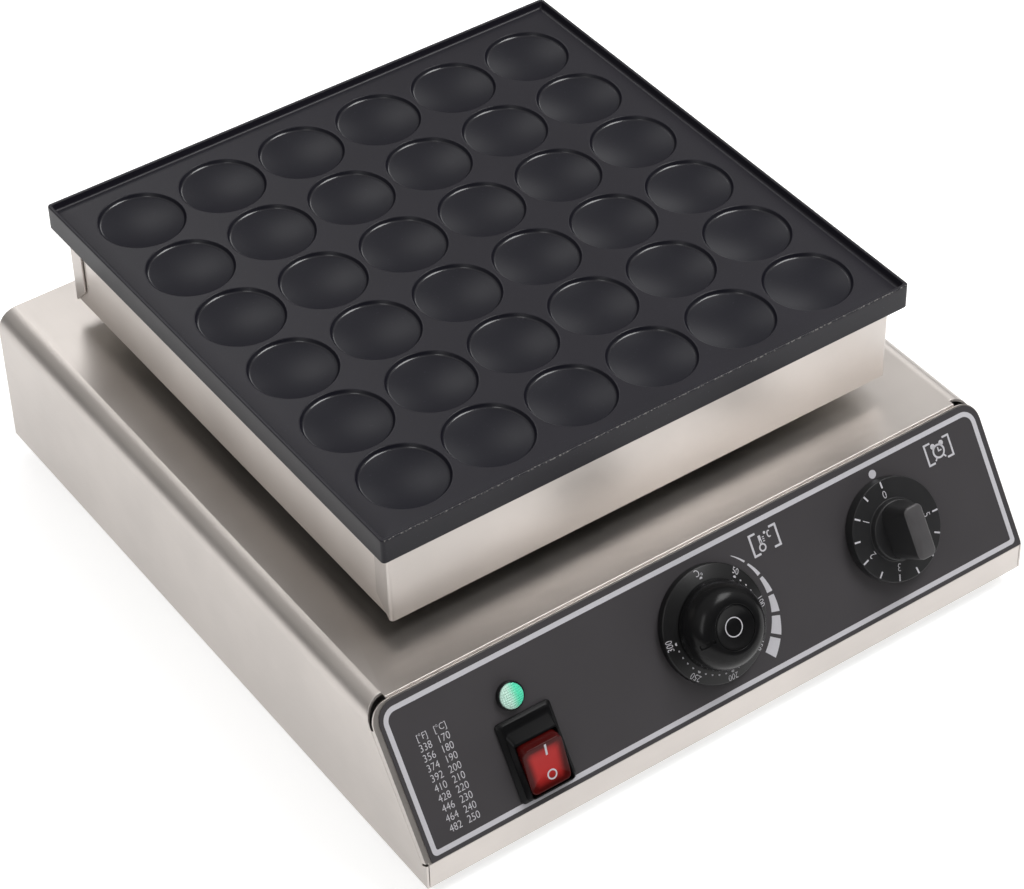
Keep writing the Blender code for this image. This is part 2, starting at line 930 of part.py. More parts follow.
def make_front_panel(look, panel):
    """The slanted panel with its side flanges and the upright apron below, in one bent sheet."""
    outline = [
        (panel_top_y, base_top),
        (base_front, bend_height),
        (base_front, base_bottom),
        (base_front + panel_flange, base_bottom),
        panel_section_point(panel_length, -panel_flange),
        panel_section_point(0.0, -panel_flange),
    ]
    sheet = finish(
        "front_panel", prism(bmesh.new(), outline, -base_half, base_half, "X"), look
    )
    bend_inner = base_sheet * math.tan(panel_lean / 2)
    hollow = [
        panel_section_point(-overrun, -base_sheet),
        panel_section_point(panel_length - bend_inner, -base_sheet),
        (base_front + base_sheet, base_bottom - overrun),
        (base_front + base_sheet + 2 * panel_flange, base_bottom - overrun),
        panel_section_point(panel_length, -2 * panel_flange),
        panel_section_point(-overrun, -2 * panel_flange),
    ]
    inner_half = base_half - base_sheet
    inside = prism(bmesh.new(), hollow, -inner_half, inner_half, "X")
    combine(sheet, helper("front_panel_hollow", inside))
    trims = bmesh.new()
    apron_half = base_half - base_sheet - gap
    for side in (-1, 1):
        reach = side * (base_half + overrun)
        near = side * apron_half
        box(
            trims,
            (min(near, reach), -panel_length - apron_height, -2 * panel_flange - apron_height),
            (max(near, reach), -panel_length + flange_end, overrun + panel_run),
        )
    combine(sheet, helper("front_panel_trims", trims, panel))
    corners = bmesh.new()
    for side in (-1, 1):
        curve = arc((base_half - base_bend, -base_bend), base_bend, 90.0, 0.0, bend_steps)
        corner = [(side * x, y) for x, y in curve]
        corner += [
            (side * (base_half + overrun), -base_bend),
            (side * (base_half + overrun), overrun),
            (side * (base_half - base_bend), overrun),
        ]
        prism(corners, corner, -2 * panel_flange, overrun)
    combine(sheet, helper("front_panel_corners", corners, panel))
    reliefs = bmesh.new()
    for side in (-1, 1):
        near = side * (base_half - base_bend - overrun)
        far = side * (base_half + overrun)
        box(
            reliefs,
            (min(near, far), -flange_start, -2 * panel_flange),
            (max(near, far), overrun, -base_sheet - gap),
        )
    combine(sheet, helper("front_panel_reliefs", reliefs, panel))
    combine(sheet, helper("front_panel_cutouts", panel_cutouts(2 * overrun, 0.0), panel))


def make_panel_label(look, panel):
    """The thin dark label over the slanted panel, with round top corners."""
    right = label_shift + label_width / 2
    left = label_shift - label_width / 2
    top = -label_top
    foot = -panel_length + label_foot
    outline = [(left, foot), (right, foot)]
    outline += arc(
        (right - label_corner, top - label_corner), label_corner, 0.0, 90.0, bend_steps
    )
    outline += arc(
        (left + label_corner, top - label_corner), label_corner, 90.0, 180.0, bend_steps
    )
    label = finish(
        "panel_label", prism(bmesh.new(), outline, label_gap, label_face), look, panel
    )
    combine(label, helper("label_cutouts", panel_cutouts(overrun, hole_slack), panel))


def slot_group(bm, centre, count, length, width, pitch, low, high, axis="Z"):
    """A row of slots with round ends, spread about a centre."""
    for k in range(count):
        middle = (centre[0] + (k - (count - 1) / 2) * pitch, centre[1])
        outline = rounded_box_outline(width / 2, length / 2, width / 2, 2, middle)
        prism(bm, outline, low, high, axis)
    return bm


def make_back_panel(look):
    """The back sheet inside the shell's section, with vent slots and the gland's hole."""
    side = base_half - base_sheet - gap
    foot = pan_bottom
    top = base_top - base_sheet - gap
    corner = base_bend - base_sheet - gap
    outline = [(-side, foot), (side, foot)]
    outline += arc((side - corner, top - corner), corner, 0.0, 90.0, bend_steps)
    outline += arc((corner - side, top - corner), corner, 90.0, 180.0, bend_steps)
    sheet = finish(
        "back_panel",
        prism(bmesh.new(), outline, base_back - base_sheet, base_back, "Y"),
        look,
    )
    low = base_back - base_sheet - overrun
    high = base_back + overrun
    middle = base_bottom + back_slot_height
    slots = slot_group(
        bmesh.new(),
        (-slot_group_offset, middle),
        slots_per_group,
        slot_length,
        slot_width,
        slot_pitch,
        low,
        high,
        "Y",
    )
    gland = arc((gland_x, gland_z), gland_thread / 2 + gap, 0.0, 360.0, small_sides)[:-1]
    prism(slots, gland, low, high, "Y")
    combine(sheet, helper("back_panel_cutters", slots))


def make_bottom_plate(look):
    """The bottom pan, lying on the shell's lips, with vent slots and the feet's screw holes."""
    half_x = base_half - base_sheet - gap
    half_y = base_depth / 2 - base_sheet - gap
    centre = (0.0, (base_front + base_back) / 2)
    plate = finish(
        "bottom_plate",
        pan(
            bmesh.new(),
            half_x,
            half_y,
            pan_corner,
            pan_bottom,
            base_sheet,
            pan_flange,
            centre,
        ),
        look,
    )
    low = pan_bottom - overrun
    high = pan_bottom + base_sheet + overrun
    cutter = holes(
        foot_places().values(), screw_diameter + 2 * hole_slack, low, high, rod_sides
    )
    for x in (-slot_group_offset, slot_group_offset):
        slot_group(
            cutter,
            (x, slot_group_y),
            slots_per_group,
            slot_length,
            slot_width,
            slot_pitch,
            low,
            high,
        )
    combine(plate, helper("bottom_plate_cutters", cutter))


def make_feet(rubber, steel):
    """Rubber feet under the bottom plate, each held by a screw in its recess."""
    top = pan_bottom - gap
    radius = foot_diameter / 2
    recess = foot_recess_diameter / 2
    bore = screw_diameter / 2 + hole_slack
    foot_profile = [
        (recess, 0.0),
        (radius - foot_taper, 0.0),
        (radius, top),
        (bore, top),
        (bore, foot_recess_depth),
        (recess, foot_recess_depth),
    ]
    head_top = foot_recess_depth - gap
    shank_top = pan_bottom + base_sheet + screw_grip
    screw_profile = [
        (0.0, head_top - screw_head_height),
        (screw_head_diameter / 2, head_top - screw_head_height),
        (screw_head_diameter / 2, head_top),
        (screw_diameter / 2, head_top),
        (screw_diameter / 2, shank_top),
        (0.0, shank_top),
    ]
    for name, (x, y) in foot_places().items():
        finish("foot_" + name, turned(foot_profile, small_sides), rubber, location=(x, y, 0.0))
        finish(
            "foot_screw_" + name, turned(screw_profile, rod_sides), steel, location=(x, y, 0.0)
        )


def make_gland(look):
    """The cable gland: its body through the back panel, a lock nut inside and a domed cap outside."""
    carrier = empty("gland_axis", (gland_x, base_back, gland_z), -math.pi / 2)
    bore = gland_bore / 2
    thread = gland_thread / 2
    seat = gap
    hex_top = seat + gland_hex_height
    collar_top = hex_top + gland_collar_length
    tail = -gland_tail
    body_profile = [
        (bore, tail),
        (thread, tail),
        (thread, hex_top),
        (gland_cap_diameter / 2 - gap, hex_top),
        (gland_cap_diameter / 2 - gap, collar_top),
        (bore, collar_top),
    ]
    body = finish("gland_body", turned(body_profile, small_sides), look, carrier)
    flange = prism(bmesh.new(), hexagon(gland_flats), seat, hex_top)
    combine(body, helper("gland_hexagon", flange, carrier), "UNION")
    through = holes([(0.0, 0.0)], gland_bore, tail - overrun, collar_top + overrun, small_sides)
    combine(body, helper("gland_through", through, carrier))
    cap_foot = collar_top + gap
    cap_top = cap_foot + gland_cap_length
    cap_radius = gland_cap_diameter / 2
    nose = gland_cap_nose / 2
    swell = cap_radius - nose
    straight_share, round_share = gland_wall_shares
    cap_profile = [
        (bore, cap_foot),
        (cap_radius, cap_foot),
        (cap_radius, cap_foot + gland_cap_length * straight_share),
        (nose + swell * round_share, cap_foot + gland_cap_length * round_share),
        (nose, cap_top),
        (bore, cap_top),
    ]
    finish("gland_cap", turned(cap_profile, small_sides), look, carrier)
    nut(
        "gland_nut",
        gland_nut_flats,
        gland_thread + 2 * gap,
        gland_nut_height,
        look,
        (0.0, 0.0, -base_sheet - gap - gland_nut_height),
        carrier,
    )


def switch_window_half_x():
    return rocker_width / 2 + rocker_side_gap


def rocker_radius():
    """The radius of the rocker's rounded ends about its pivot."""
    return math.hypot(rocker_half_length, rocker_crest)


def switch_window_half_y():
    return rocker_radius() + rocker_side_gap


def switch_body_half_x():
    return switch_window_half_x() + switch_wall_x


def switch_body_half_y():
    return switch_window_half_y() + switch_wall_y


def reaching(half_x, back, front, radius, height):
    """A section for loft that reaches by back and by front to the two sides of its centre in y."""
    return (half_x, (back + front) / 2, radius, height, (back - front) / 2)


def make_switch(body_look, rocker_look, panel):
    """The rocker switch: a moulded body with a raised frame, and a rocker on two side pins."""
    seat = label_face + gap
    low = -switch_body_depth
    half_x = switch_width / 2
    half_y = switch_length / 2
    edge = seat + switch_flange_edge
    centre = (switch_x, -switch_down)
    pivot = (switch_x, -switch_down - pivot_down)
    flange = bmesh.new()
    loft(
        flange,
        [
            (half_x, half_y, switch_corner, seat),
            (half_x, half_y, switch_corner, edge),
            reaching(
                half_x - switch_flange_draft_side,
                half_y - switch_flange_draft_back,
                half_y - switch_flange_draft_front,
                switch_corner,
                switch_flange_height,
            ),
        ],
        centre=centre,
    )
    body = finish("switch_body", flange, body_look, panel)
    collar = bmesh.new()
    collar_foot = (
        collar_foot_half_width,
        collar_foot_back,
        collar_foot_front,
        collar_foot_corner,
    )
    loft(
        collar,
        [
            reaching(*collar_foot, edge),
            reaching(*collar_foot, switch_flange_height),
            reaching(
                collar_top_half_width,
                collar_top_back,
                collar_top_front,
                collar_top_corner,
                switch_collar_height,
            ),
        ],
        centre=centre,
    )
    combine(body, helper("switch_collar", collar, panel), "UNION")
    block = bmesh.new()
    outline = rounded_box_outline(
        switch_body_half_x(), switch_body_half_y(), switch_corner / 2, centre=pivot
    )
    prism(block, outline, low, edge)
    combine(body, helper("switch_block", block, panel), "UNION")
    window_half_x = switch_window_half_x()
    window_half_y = switch_window_half_y()
    lip_half_y = window_half_y - collar_lip
    window_corner = switch_corner / 4
    window = bmesh.new()
    loft(
        window,
        [
            (window_half_x, window_half_y, window_corner, -well_in_switch),
            (window_half_x, window_half_y, window_corner, switch_flange_height),
            (window_half_x, lip_half_y, window_corner, switch_collar_height),
            (window_half_x, lip_half_y, window_corner, switch_collar_height + overrun),
        ],
        centre=pivot,
    )
    combine(body, helper("switch_window", window, panel))
    socket_reach = switch_window_half_x() + pin_reach
    sockets = bmesh.new()
    socket = arc(
        (pivot[1], pivot_rise), pin_diameter / 2 + rocker_side_gap, 0.0, 360.0, rod_sides
    )[:-1]
    prism(sockets, socket, switch_x - socket_reach, switch_x + socket_reach, "X")
    combine(body, helper("switch_sockets", sockets, panel))

    carrier = empty(
        "rocker_axis",
        (switch_x, pivot[1], pivot_rise),
        math.radians(rocker_tilt_degrees),
        panel,
    )
    crest_angle = math.degrees(math.atan2(rocker_crest, rocker_half_length))
    root_angle = math.degrees(math.asin(rocker_root / rocker_radius()))
    right = arc((0.0, 0.0), rocker_radius(), -root_angle, crest_angle, rocker_arc_steps)
    dish = [(rocker_half_length / 2, rocker_crest - rocker_dip * 3 / 4)]
    middle = [(0.0, rocker_crest - rocker_dip)]
    left = [(-y, z) for y, z in reversed(right + dish)]
    section = right + dish + middle + left
    rocker = finish(
        "switch_rocker",
        prism(bmesh.new(), section, -rocker_width / 2, rocker_width / 2, "X"),
        rocker_look,
        carrier,
    )
    pins = bmesh.new()
    pin = arc((0.0, 0.0), pin_diameter / 2, 0.0, 360.0, rod_sides)[:-1]
    pin_half = rocker_width / 2 + rocker_side_gap + pin_reach - gap
    prism(pins, pin, -pin_half, pin_half, "X")
    combine(rocker, helper("rocker_pins", pins, carrier), "UNION")


def make_lamp(bezel_look, lens_look, panel):
    """The pilot lamp: a body with a round bezel, its lens, and the nut behind the panel."""
    seat = label_face + gap
    carrier = empty("lamp_axis", (lamp_x, -lamp_down, 0.0), 0.0, panel)
    outer = lamp_bezel_diameter / 2
    lens = lamp_lens_diameter / 2
    body = lamp_body_diameter / 2
    rise = seat + lamp_bezel_rise
    floor = rise - lamp_seat_depth
    edge = (outer - lens) / 2
    profile = [
        (0.0, -lamp_body_depth),
        (body, -lamp_body_depth),
        (body, seat),
        (outer, seat),
        (outer, rise - edge),
        (outer - edge, rise),
        (lens + gap, rise),
        (lens + gap, floor),
        (0.0, floor),
    ]
    finish("lamp_body", turned(profile, knob_sides // 2), bezel_look, carrier)
    top = rise + lamp_lens_rise
    lens_profile = [
        (0.0, floor + gap),
        (lens, floor + gap),
        (lens, rise),
        (lens * math.cos(math.radians(30)), rise + lamp_lens_rise / 2),
        (lens / 2, top - lamp_lens_rise / 8),
        (0.0, top),
    ]
    finish("lamp_lens", turned(lens_profile, knob_sides // 2), lens_look, carrier)
    nut(
        "lamp_nut",
        lamp_nut_flats,
        lamp_body_diameter + 2 * gap,
        lamp_nut_height,
        bezel_look,
        (0.0, 0.0, -base_sheet - gap - lamp_nut_height),
        carrier,
    )


def control_body(name, width, length, depth, look, carrier):
    """The block of a control behind the panel, with the neck that its shaft turns in."""
    seat = -base_sheet - gap
    block = bmesh.new()
    half_x = width / 2
    half_y = length / 2
    loft(
        block,
        [
            (half_x - body_edge, half_y - body_edge, body_edge, seat - depth),
            (half_x, half_y, body_edge, seat - depth + body_edge),
            (half_x, half_y, body_edge, seat),
        ],
        steps=2,
    )
    body = finish(name, block, look, carrier)
    neck_top = seat + neck_length
    neck = holes([(0.0, 0.0)], neck_diameter, seat - body_edge, neck_top, small_sides)
    combine(body, helper(name + "_neck", neck, carrier), "UNION")
    bore = shaft_diameter + 2 * turning_gap
    socket = holes(
        [(0.0, 0.0)], bore, seat - shaft_socket, neck_top + overrun, small_sides
    )
    combine(body, helper(name + "_bore", socket, carrier))
    return seat - shaft_socket + turning_gap


def shaft(name, low, high, look, carrier):
    radius = shaft_diameter / 2
    profile = [(0.0, low), (radius, low), (radius, high), (0.0, high)]
    finish(name, turned(profile, small_sides), look, carrier)


def ring_top():
    """The height of the scale ring's upper face, next to the knob."""
    return label_face + gap + ring_edge_height + ring_cone_rise


def make_scale_ring(look, carrier):
    """The fixed ring round the thermostat knob that carries the scale."""
    low = label_face + gap
    outer = ring_diameter / 2
    edge_top = low + ring_edge_height
    bore = neck_diameter / 2 + ring_bore_slack
    profile = [
        (bore, low),
        (outer, low),
        (outer, edge_top - ring_edge),
        (outer - ring_edge, edge_top),
        (knob_foot_diameter / 2, ring_top()),
        (bore, ring_top()),
    ]
    finish("scale_ring", turned(profile, knob_sides), look, carrier)


def make_thermostat(looks, panel):
    """The thermostat: its body and shaft, the scale ring, the domed knob and the knob's cap."""
    carrier = empty("thermostat_axis", (thermostat_x, -control_down, 0.0), 0.0, panel)
    shaft_foot = control_body(
        "thermostat_body",
        thermostat_width,
        thermostat_length,
        thermostat_depth,
        looks["white_ceramic"],
        carrier,
    )
    make_scale_ring(looks["black_gloss"], carrier)
    foot = ring_top() + turning_gap
    top = foot + knob_height
    outer = knob_foot_diameter / 2
    neck = knob_neck_diameter / 2
    shoulder = foot + knob_foot_height
    seat = top - cap_recess
    ceiling = seat - knob_wall
    hub = knob_hub_diameter / 2
    bore = shaft_diameter / 2 + gap
    flank = [
        (
            neck + (outer - neck) * math.cos(math.radians(90 * k / knob_arc_steps)),
            shoulder + (top - shoulder) * math.sin(math.radians(90 * k / knob_arc_steps)),
        )
        for k in range(knob_arc_steps + 1)
    ]
    inside = [
        (
            hub + (outer - knob_wall - hub) * math.cos(math.radians(90 * k / 2)),
            foot + (ceiling - foot) * math.sin(math.radians(90 * k / 2)),
        )
        for k in range(3)
    ]
    profile = [(outer, foot)] + flank
    profile += [
        (neck - cap_rim, top),
        (neck - cap_rim, seat),
        (bore, seat),
        (bore, foot),
        (hub, foot),
    ]
    profile += list(reversed(inside))
    knob = finish("thermostat_knob", turned(profile, knob_sides), looks["black_gloss"], carrier)
    groove_line = []
    for k in range(groove_steps + 1):
        radius = neck + (groove_outer - neck) * k / groove_steps
        share = (radius - neck) / (outer - neck)
        surface = shoulder + (top - shoulder) * math.sqrt(1.0 - share**2)
        groove_line.append((radius, surface - groove_depth))
    groove_line[0] = (neck - cap_rim / 2, groove_line[0][1])
    above = [(groove_outer, top + overrun), (groove_line[0][0], top + overrun)]
    groove = bmesh.new()
    prism(groove, groove_line + above, -groove_width / 2, groove_width / 2, "X")
    cutter = helper("pointer_groove", groove, carrier)
    cutter.rotation_euler.z = -math.radians(pointer_degrees)
    combine(knob, cutter)
    cap_radius = neck - cap_rim - gap
    cap_edge = top - cap_lip
    cap_profile = [(0.0, seat + gap), (cap_radius, seat + gap), (cap_radius, cap_edge)]
    for share in cap_dish_shares:
        cap_profile.append((cap_radius * share, cap_edge - cap_dish * (1.0 - share**2)))
    cap_profile.append((0.0, cap_edge - cap_dish))
    finish("knob_cap", turned(cap_profile, knob_sides), looks["black_gloss"], carrier)
    shaft("thermostat_shaft", shaft_foot, seat - gap, looks["zinc_steel"], carrier)


def make_timer(looks, panel):
    """The timer: its body and shaft, and the knob with a skirt, a hub and a finger bar."""
    carrier = empty("timer_axis", (timer_x, -control_down, 0.0), 0.0, panel)
    shaft_foot = control_body(
        "timer_body", timer_width, timer_length, timer_depth, looks["grey_plastic"], carrier
    )
    foot = timer_skirt_foot
    skirt = timer_skirt_diameter / 2
    skirt_top = foot + timer_skirt_height
    hub = timer_hub_diameter / 2
    hub_top = skirt_top + timer_hub_height
    bore = shaft_diameter / 2 + gap
    ceiling = skirt_top - knob_wall
    bore_top = hub_top - knob_wall
    profile = [
        (0.0, bore_top),
        (bore, bore_top),
        (bore, ceiling),
        (skirt - knob_wall, ceiling),
        (skirt - knob_wall, foot),
        (skirt, foot),
        (skirt, skirt_top - timer_skirt_edge),
        (skirt - timer_skirt_edge, skirt_top),
        (hub + timer_skirt_edge, skirt_top),
        (hub, hub_top - timer_hub_cone),
        (hub - timer_hub_cone, hub_top),
        (0.0, hub_top),
    ]
    knob = finish("timer_knob", turned(profile, knob_sides), looks["black_matt"], carrier)
    bar = bmesh.new()
    half_x = timer_bar_width / 2
    half_y = timer_bar_length / 2
    loft(
        bar,
        [
            (
                timer_bar_foot_width / 2,
                timer_bar_foot_length / 2,
                timer_bar_foot_corner,
                hub_top - timer_hub_cone,
            ),
            (half_x, half_y, timer_bar_corner, timer_bar_top - timer_bar_edge),
            (
                half_x - timer_bar_edge,
                half_y - timer_bar_edge,
                timer_bar_corner - timer_bar_edge,
                timer_bar_top,
            ),
        ],
        steps=4,
    )
    combine(knob, helper("timer_bar", bar, carrier), "UNION")
    shaft("timer_shaft", shaft_foot, bore_top - gap, looks["zinc_steel"], carrier)


def make_terminal_block(look):
    """The terminal block on the bottom plate, with one pair of wire pockets for each way."""
    low = pan_bottom + base_sheet + gap
    centre_y = block_y
    half_x = block_length / 2
    half_y = block_width / 2
    step_top = low + block_height - block_step
    section = [
        (centre_y - half_y, low),
        (centre_y + half_y, low),
        (centre_y + half_y, step_top),
        (centre_y + half_y / 2, low + block_height),
        (centre_y - half_y / 2, low + block_height),
        (centre_y - half_y, step_top),
    ]
    block = finish(
        "terminal_block",
        prism(bmesh.new(), section, block_x - half_x, block_x + half_x, "X"),
        look,
    )
    pitch = (block_length - block_wall) / block_ways
    pockets = bmesh.new()
    for way in range(block_ways):
        start = block_x - half_x + block_wall + way * pitch
        for side in (-1, 1):
            near = centre_y + side * (half_y - block_slot_depth)
            far = centre_y + side * (half_y + overrun)
            box(
                pockets,
                (start, min(near, far), low + block_wall),
                (start + pitch - block_wall, max(near, far), step_top - block_wall),
            )
    combine(block, helper("terminal_pockets", pockets))


def build():
    clear_scene()
    looks = {
        "coated_casting": material("coated_casting", (0.042, 0.042, 0.050), 0.55, 0.0),
        "brushed_steel": material("brushed_steel", (0.62, 0.58, 0.54), 0.32, 1.0),
        "zinc_steel": material("zinc_steel", (0.56, 0.56, 0.55), 0.35, 1.0),
        "heater_steel": material("heater_steel", (0.30, 0.27, 0.24), 0.45, 1.0),
        "fibre": material("fibre", (0.80, 0.79, 0.76), 0.95, 0.0),
        "label_film": material("label_film", (0.060, 0.058, 0.062), 0.45, 0.0),
        "black_gloss": material("black_gloss", (0.012, 0.012, 0.013), 0.18, 0.0),
        "black_matt": material("black_matt", (0.028, 0.028, 0.030), 0.42, 0.0),
        "red_lens": material("red_lens", (0.48, 0.020, 0.022), 0.20, 0.0),
        "green_lens": material("green_lens", (0.10, 0.75, 0.50), 0.18, 0.0),
        "rubber": material("rubber", (0.025, 0.025, 0.025), 0.80, 0.0),
        "white_ceramic": material("white_ceramic", (0.78, 0.76, 0.70), 0.45, 0.0),
        "grey_plastic": material("grey_plastic", (0.30, 0.31, 0.32), 0.50, 0.0),
    }
    steel = looks["brushed_steel"]
    panel = empty(
        "panel_frame", (0.0, panel_top_y, base_top), math.pi / 2 - panel_lean
    )
    make_griddle_plate(looks["coated_casting"])
    make_heaters(looks["heater_steel"])
    make_clamp_bars(looks["zinc_steel"])
    make_tie_rods(looks["zinc_steel"])
    make_standoffs(looks["zinc_steel"])
    make_tie_nuts(looks["zinc_steel"])
    make_insulation(looks["fibre"])
    make_housing_wrap("housing_front", -1, steel)
    make_housing_wrap("housing_rear", 1, steel)
    make_housing_side("housing_left", -1, steel)
    make_housing_side("housing_right", 1, steel)
    make_housing_floor(looks["zinc_steel"])
    make_wiring_sleeve(looks["zinc_steel"])
    make_base_shell(steel)
    make_front_panel(steel, panel)
    make_panel_label(looks["label_film"], panel)
    make_back_panel(steel)
    make_bottom_plate(looks["zinc_steel"])
    make_feet(looks["rubber"], looks["zinc_steel"])
    make_gland(looks["black_matt"])
    make_switch(looks["black_gloss"], looks["red_lens"], panel)
    make_lamp(looks["black_matt"], looks["green_lens"], panel)
    make_thermostat(looks, panel)
    make_timer(looks, panel)
    make_terminal_block(looks["white_ceramic"])


build()
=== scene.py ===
"""Dresses the packed mini pancake griddle: finer surfaces, printed marks, looks, light and camera.

The sheet pieces keep their packed shape, with softened edges. The casting, the knobs, the switch,
the lamp and the small turned pieces are worked out again here as smooth surfaces in the same
places. Lengths are in metres in the frame of the packed model, but the shapes on the slanted panel
and the turned fittings are drawn in millimetres in a frame of their own.
"""

import json
import math

import bmesh
import bpy
import numpy as np
from bpy.props import FloatProperty, FloatVectorProperty, IntProperty, PointerProperty
from mathutils import Matrix, Vector


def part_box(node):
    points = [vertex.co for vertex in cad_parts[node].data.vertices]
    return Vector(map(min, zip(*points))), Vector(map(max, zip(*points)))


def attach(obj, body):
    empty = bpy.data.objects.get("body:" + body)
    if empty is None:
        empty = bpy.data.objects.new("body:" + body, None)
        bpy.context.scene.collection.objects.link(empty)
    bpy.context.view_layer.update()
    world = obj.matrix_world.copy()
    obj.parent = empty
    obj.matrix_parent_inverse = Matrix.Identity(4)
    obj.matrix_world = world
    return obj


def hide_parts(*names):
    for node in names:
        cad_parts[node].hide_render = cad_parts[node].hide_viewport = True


bl_info = {
    "name": "Mini Pancake Griddle",
    "version": (1, 0, 0),
    "blender": (4, 5, 0),
    "location": "3D View > Sidebar > Griddle",
    "description": "Builds the surfaces, marks and materials of a countertop mini pancake griddle",
    "category": "Add Mesh",
}

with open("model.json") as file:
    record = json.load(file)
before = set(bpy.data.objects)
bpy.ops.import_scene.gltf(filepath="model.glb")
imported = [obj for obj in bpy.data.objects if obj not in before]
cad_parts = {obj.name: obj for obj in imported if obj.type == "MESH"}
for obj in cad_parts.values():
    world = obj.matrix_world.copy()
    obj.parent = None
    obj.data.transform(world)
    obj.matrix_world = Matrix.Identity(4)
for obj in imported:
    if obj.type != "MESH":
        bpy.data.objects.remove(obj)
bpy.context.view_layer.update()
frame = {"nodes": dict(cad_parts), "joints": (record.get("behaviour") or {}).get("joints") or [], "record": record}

MM = 0.001

# Heights over the slanted panel, in millimetres: the label's face, the controls' seat on it, the
# thickness of a printed mark, and the clearance of a mark over its ground
LABEL_FACE = 0.5
SEAT = 0.8
PRINT_RISE = 0.05
PRINT_GAP = 0.03

# Turning angles above which an edge of a smooth, a moulded and a printed piece stays sharp
SMOOTH, MOULDED, PRINTED = 35.0, 50.0, 30.0


def colour(name, words, value):
    """A colour property with its default."""
    return FloatVectorProperty(
        name=name, description=words, subtype="COLOR", size=3, min=0.0, max=1.0, default=value
    )


def length(name, words, value):
    """A length property with its default in metres."""
    return FloatProperty(name=name, description=words, unit="LENGTH", precision=5, default=value)


class GriddlePlateLook(bpy.types.PropertyGroup):
    """Sizes and colours of the cast plate"""

    well_pitch: length("Well pitch", "Distance between the centres of neighbouring wells", 0.0475)
    well_diameter: length("Well diameter", "Width of a well at its mouth", 0.0450)
    well_depth: length("Well depth", "Depth of a well at its middle", 0.0050)
    wall_depth: length("Wall depth", "Height of the steep wall under a well's mouth", 0.0019)
    lip: length("Lip rounding", "Rounding of a well's mouth", 0.00045)
    rim_height: length("Rim height", "Height of the rim over the land", 0.0039)
    rim_width: length("Rim width", "Width of the rim's flat top", 0.0017)
    corner: length("Corner", "Rounding of the plate's corners in plan", 0.0020)
    wells_per_side: IntProperty(
        name="Wells per side", description="Rows and columns of wells", min=1, default=6
    )
    coating: colour("Coating", "Colour of the plate's coating", (0.0115, 0.0105, 0.0160))
    bare_metal: colour("Bare metal", "Colour of the worn edge", (0.17, 0.165, 0.16))


class GriddleSteelLook(bpy.types.PropertyGroup):
    """Colours and edges of the steel"""

    steel: colour("Steel", "Colour of the satin steel sheets", (0.605, 0.565, 0.535))
    zinc: colour("Zinc", "Colour of the plated hardware", (0.52, 0.52, 0.50))
    edge: length("Edge softening", "Rounding of the sheets' edges", 0.00025)


class GriddlePanelLook(bpy.types.PropertyGroup):
    """Sizes and colours of the control panel"""

    run: length("Run", "How far the slanted panel leans back over its height", 0.0444)
    apron: length("Apron", "Height of the upright apron under the slanted panel", 0.0155)
    line: length("Line", "Width of the label's border line", 0.0025)
    label: colour("Label", "Colour of the label film", (0.056, 0.052, 0.056))
    print_white: colour("Print", "Colour of the printed marks", (0.66, 0.65, 0.69))


class GriddleControlLook(bpy.types.PropertyGroup):
    """Colours of the controls"""

    gloss_black: colour("Knob", "Colour of the thermostat's knob", (0.0075, 0.0075, 0.0080))
    ring_black: colour("Ring", "Colour of the thermostat's ring", (0.0070, 0.0070, 0.0075))
    matt_black: colour("Timer knob", "Colour of the timer's knob", (0.016, 0.016, 0.017))
    # The bar's top is a lighter grey than the rest of the knob.
    bar_top: colour("Bar top", "Colour of the lighter top of the timer's bar", (0.066, 0.063, 0.066))
    rocker: colour("Rocker", "Colour of the rocker's lens", (0.50, 0.026, 0.024))
    lamp: colour("Lamp", "Colour of the pilot lamp's lens", (0.12, 0.84, 0.54))


class GriddleStageLook(bpy.types.PropertyGroup):
    """Floor, light and sky"""

    floor: colour("Floor", "Colour of the floor", (0.80, 0.80, 0.80))
    key_power: FloatProperty(
        name="Key", description="Power of the main soft light", unit="POWER", default=20.5
    )
    sky: FloatProperty(
        name="Sky", description="Strength of the even light from above", min=0.0, default=0.55
    )


SETTINGS = (
    ("griddle_plate_look", GriddlePlateLook),
    ("griddle_steel_look", GriddleSteelLook),
    ("griddle_panel_look", GriddlePanelLook),
    ("griddle_control_look", GriddleControlLook),
    ("griddle_stage_look", GriddleStageLook),
)


# Shader expressions


class Signal:
    """A node's output whose operators add Math nodes."""

    def __init__(self, nodes, socket):
        self.nodes = nodes
        self.socket = socket

    def maths(self, operation, first, second):
        return self.nodes.node("ShaderNodeMath", {"operation": operation}, {0: first, 1: second})

    def __add__(self, other):
        return self.maths("ADD", self, other)

    __radd__ = __add__

    def __sub__(self, other):
        return self.maths("SUBTRACT", self, other)

    def __rsub__(self, other):
        return self.maths("SUBTRACT", other, self)

    def __mul__(self, other):
        return self.maths("MULTIPLY", self, other)

    __rmul__ = __mul__


class Nodes:
    """A node tree whose nodes are added from expressions."""

    def __init__(self, tree):
        self.tree = tree

    def node(self, kind, settings=None, inputs=None, output=0):
        """Adds a node with its settings and the values or links of its sockets."""
        made = self.tree.nodes.new(kind)
        for key, value in (settings or {}).items():
            setattr(made, key, value)
        for key, value in (inputs or {}).items():
            if isinstance(value, Signal):
                self.tree.links.new(value.socket, made.inputs[key])
            else:
                made.inputs[key].default_value = value
        return Signal(self, made.outputs[output]) if made.outputs else None

    def ramp(self, factor, low, high, least=0.0, most=1.0):
        """The factor spread smoothly from the least to the most between two of its values."""
        ends = {"From Min": low, "From Max": high, "To Min": least, "To Max": most}
        settings = {"interpolation_type": "SMOOTHSTEP"}
        return self.node("ShaderNodeMapRange", settings, {"Value": factor, **ends})


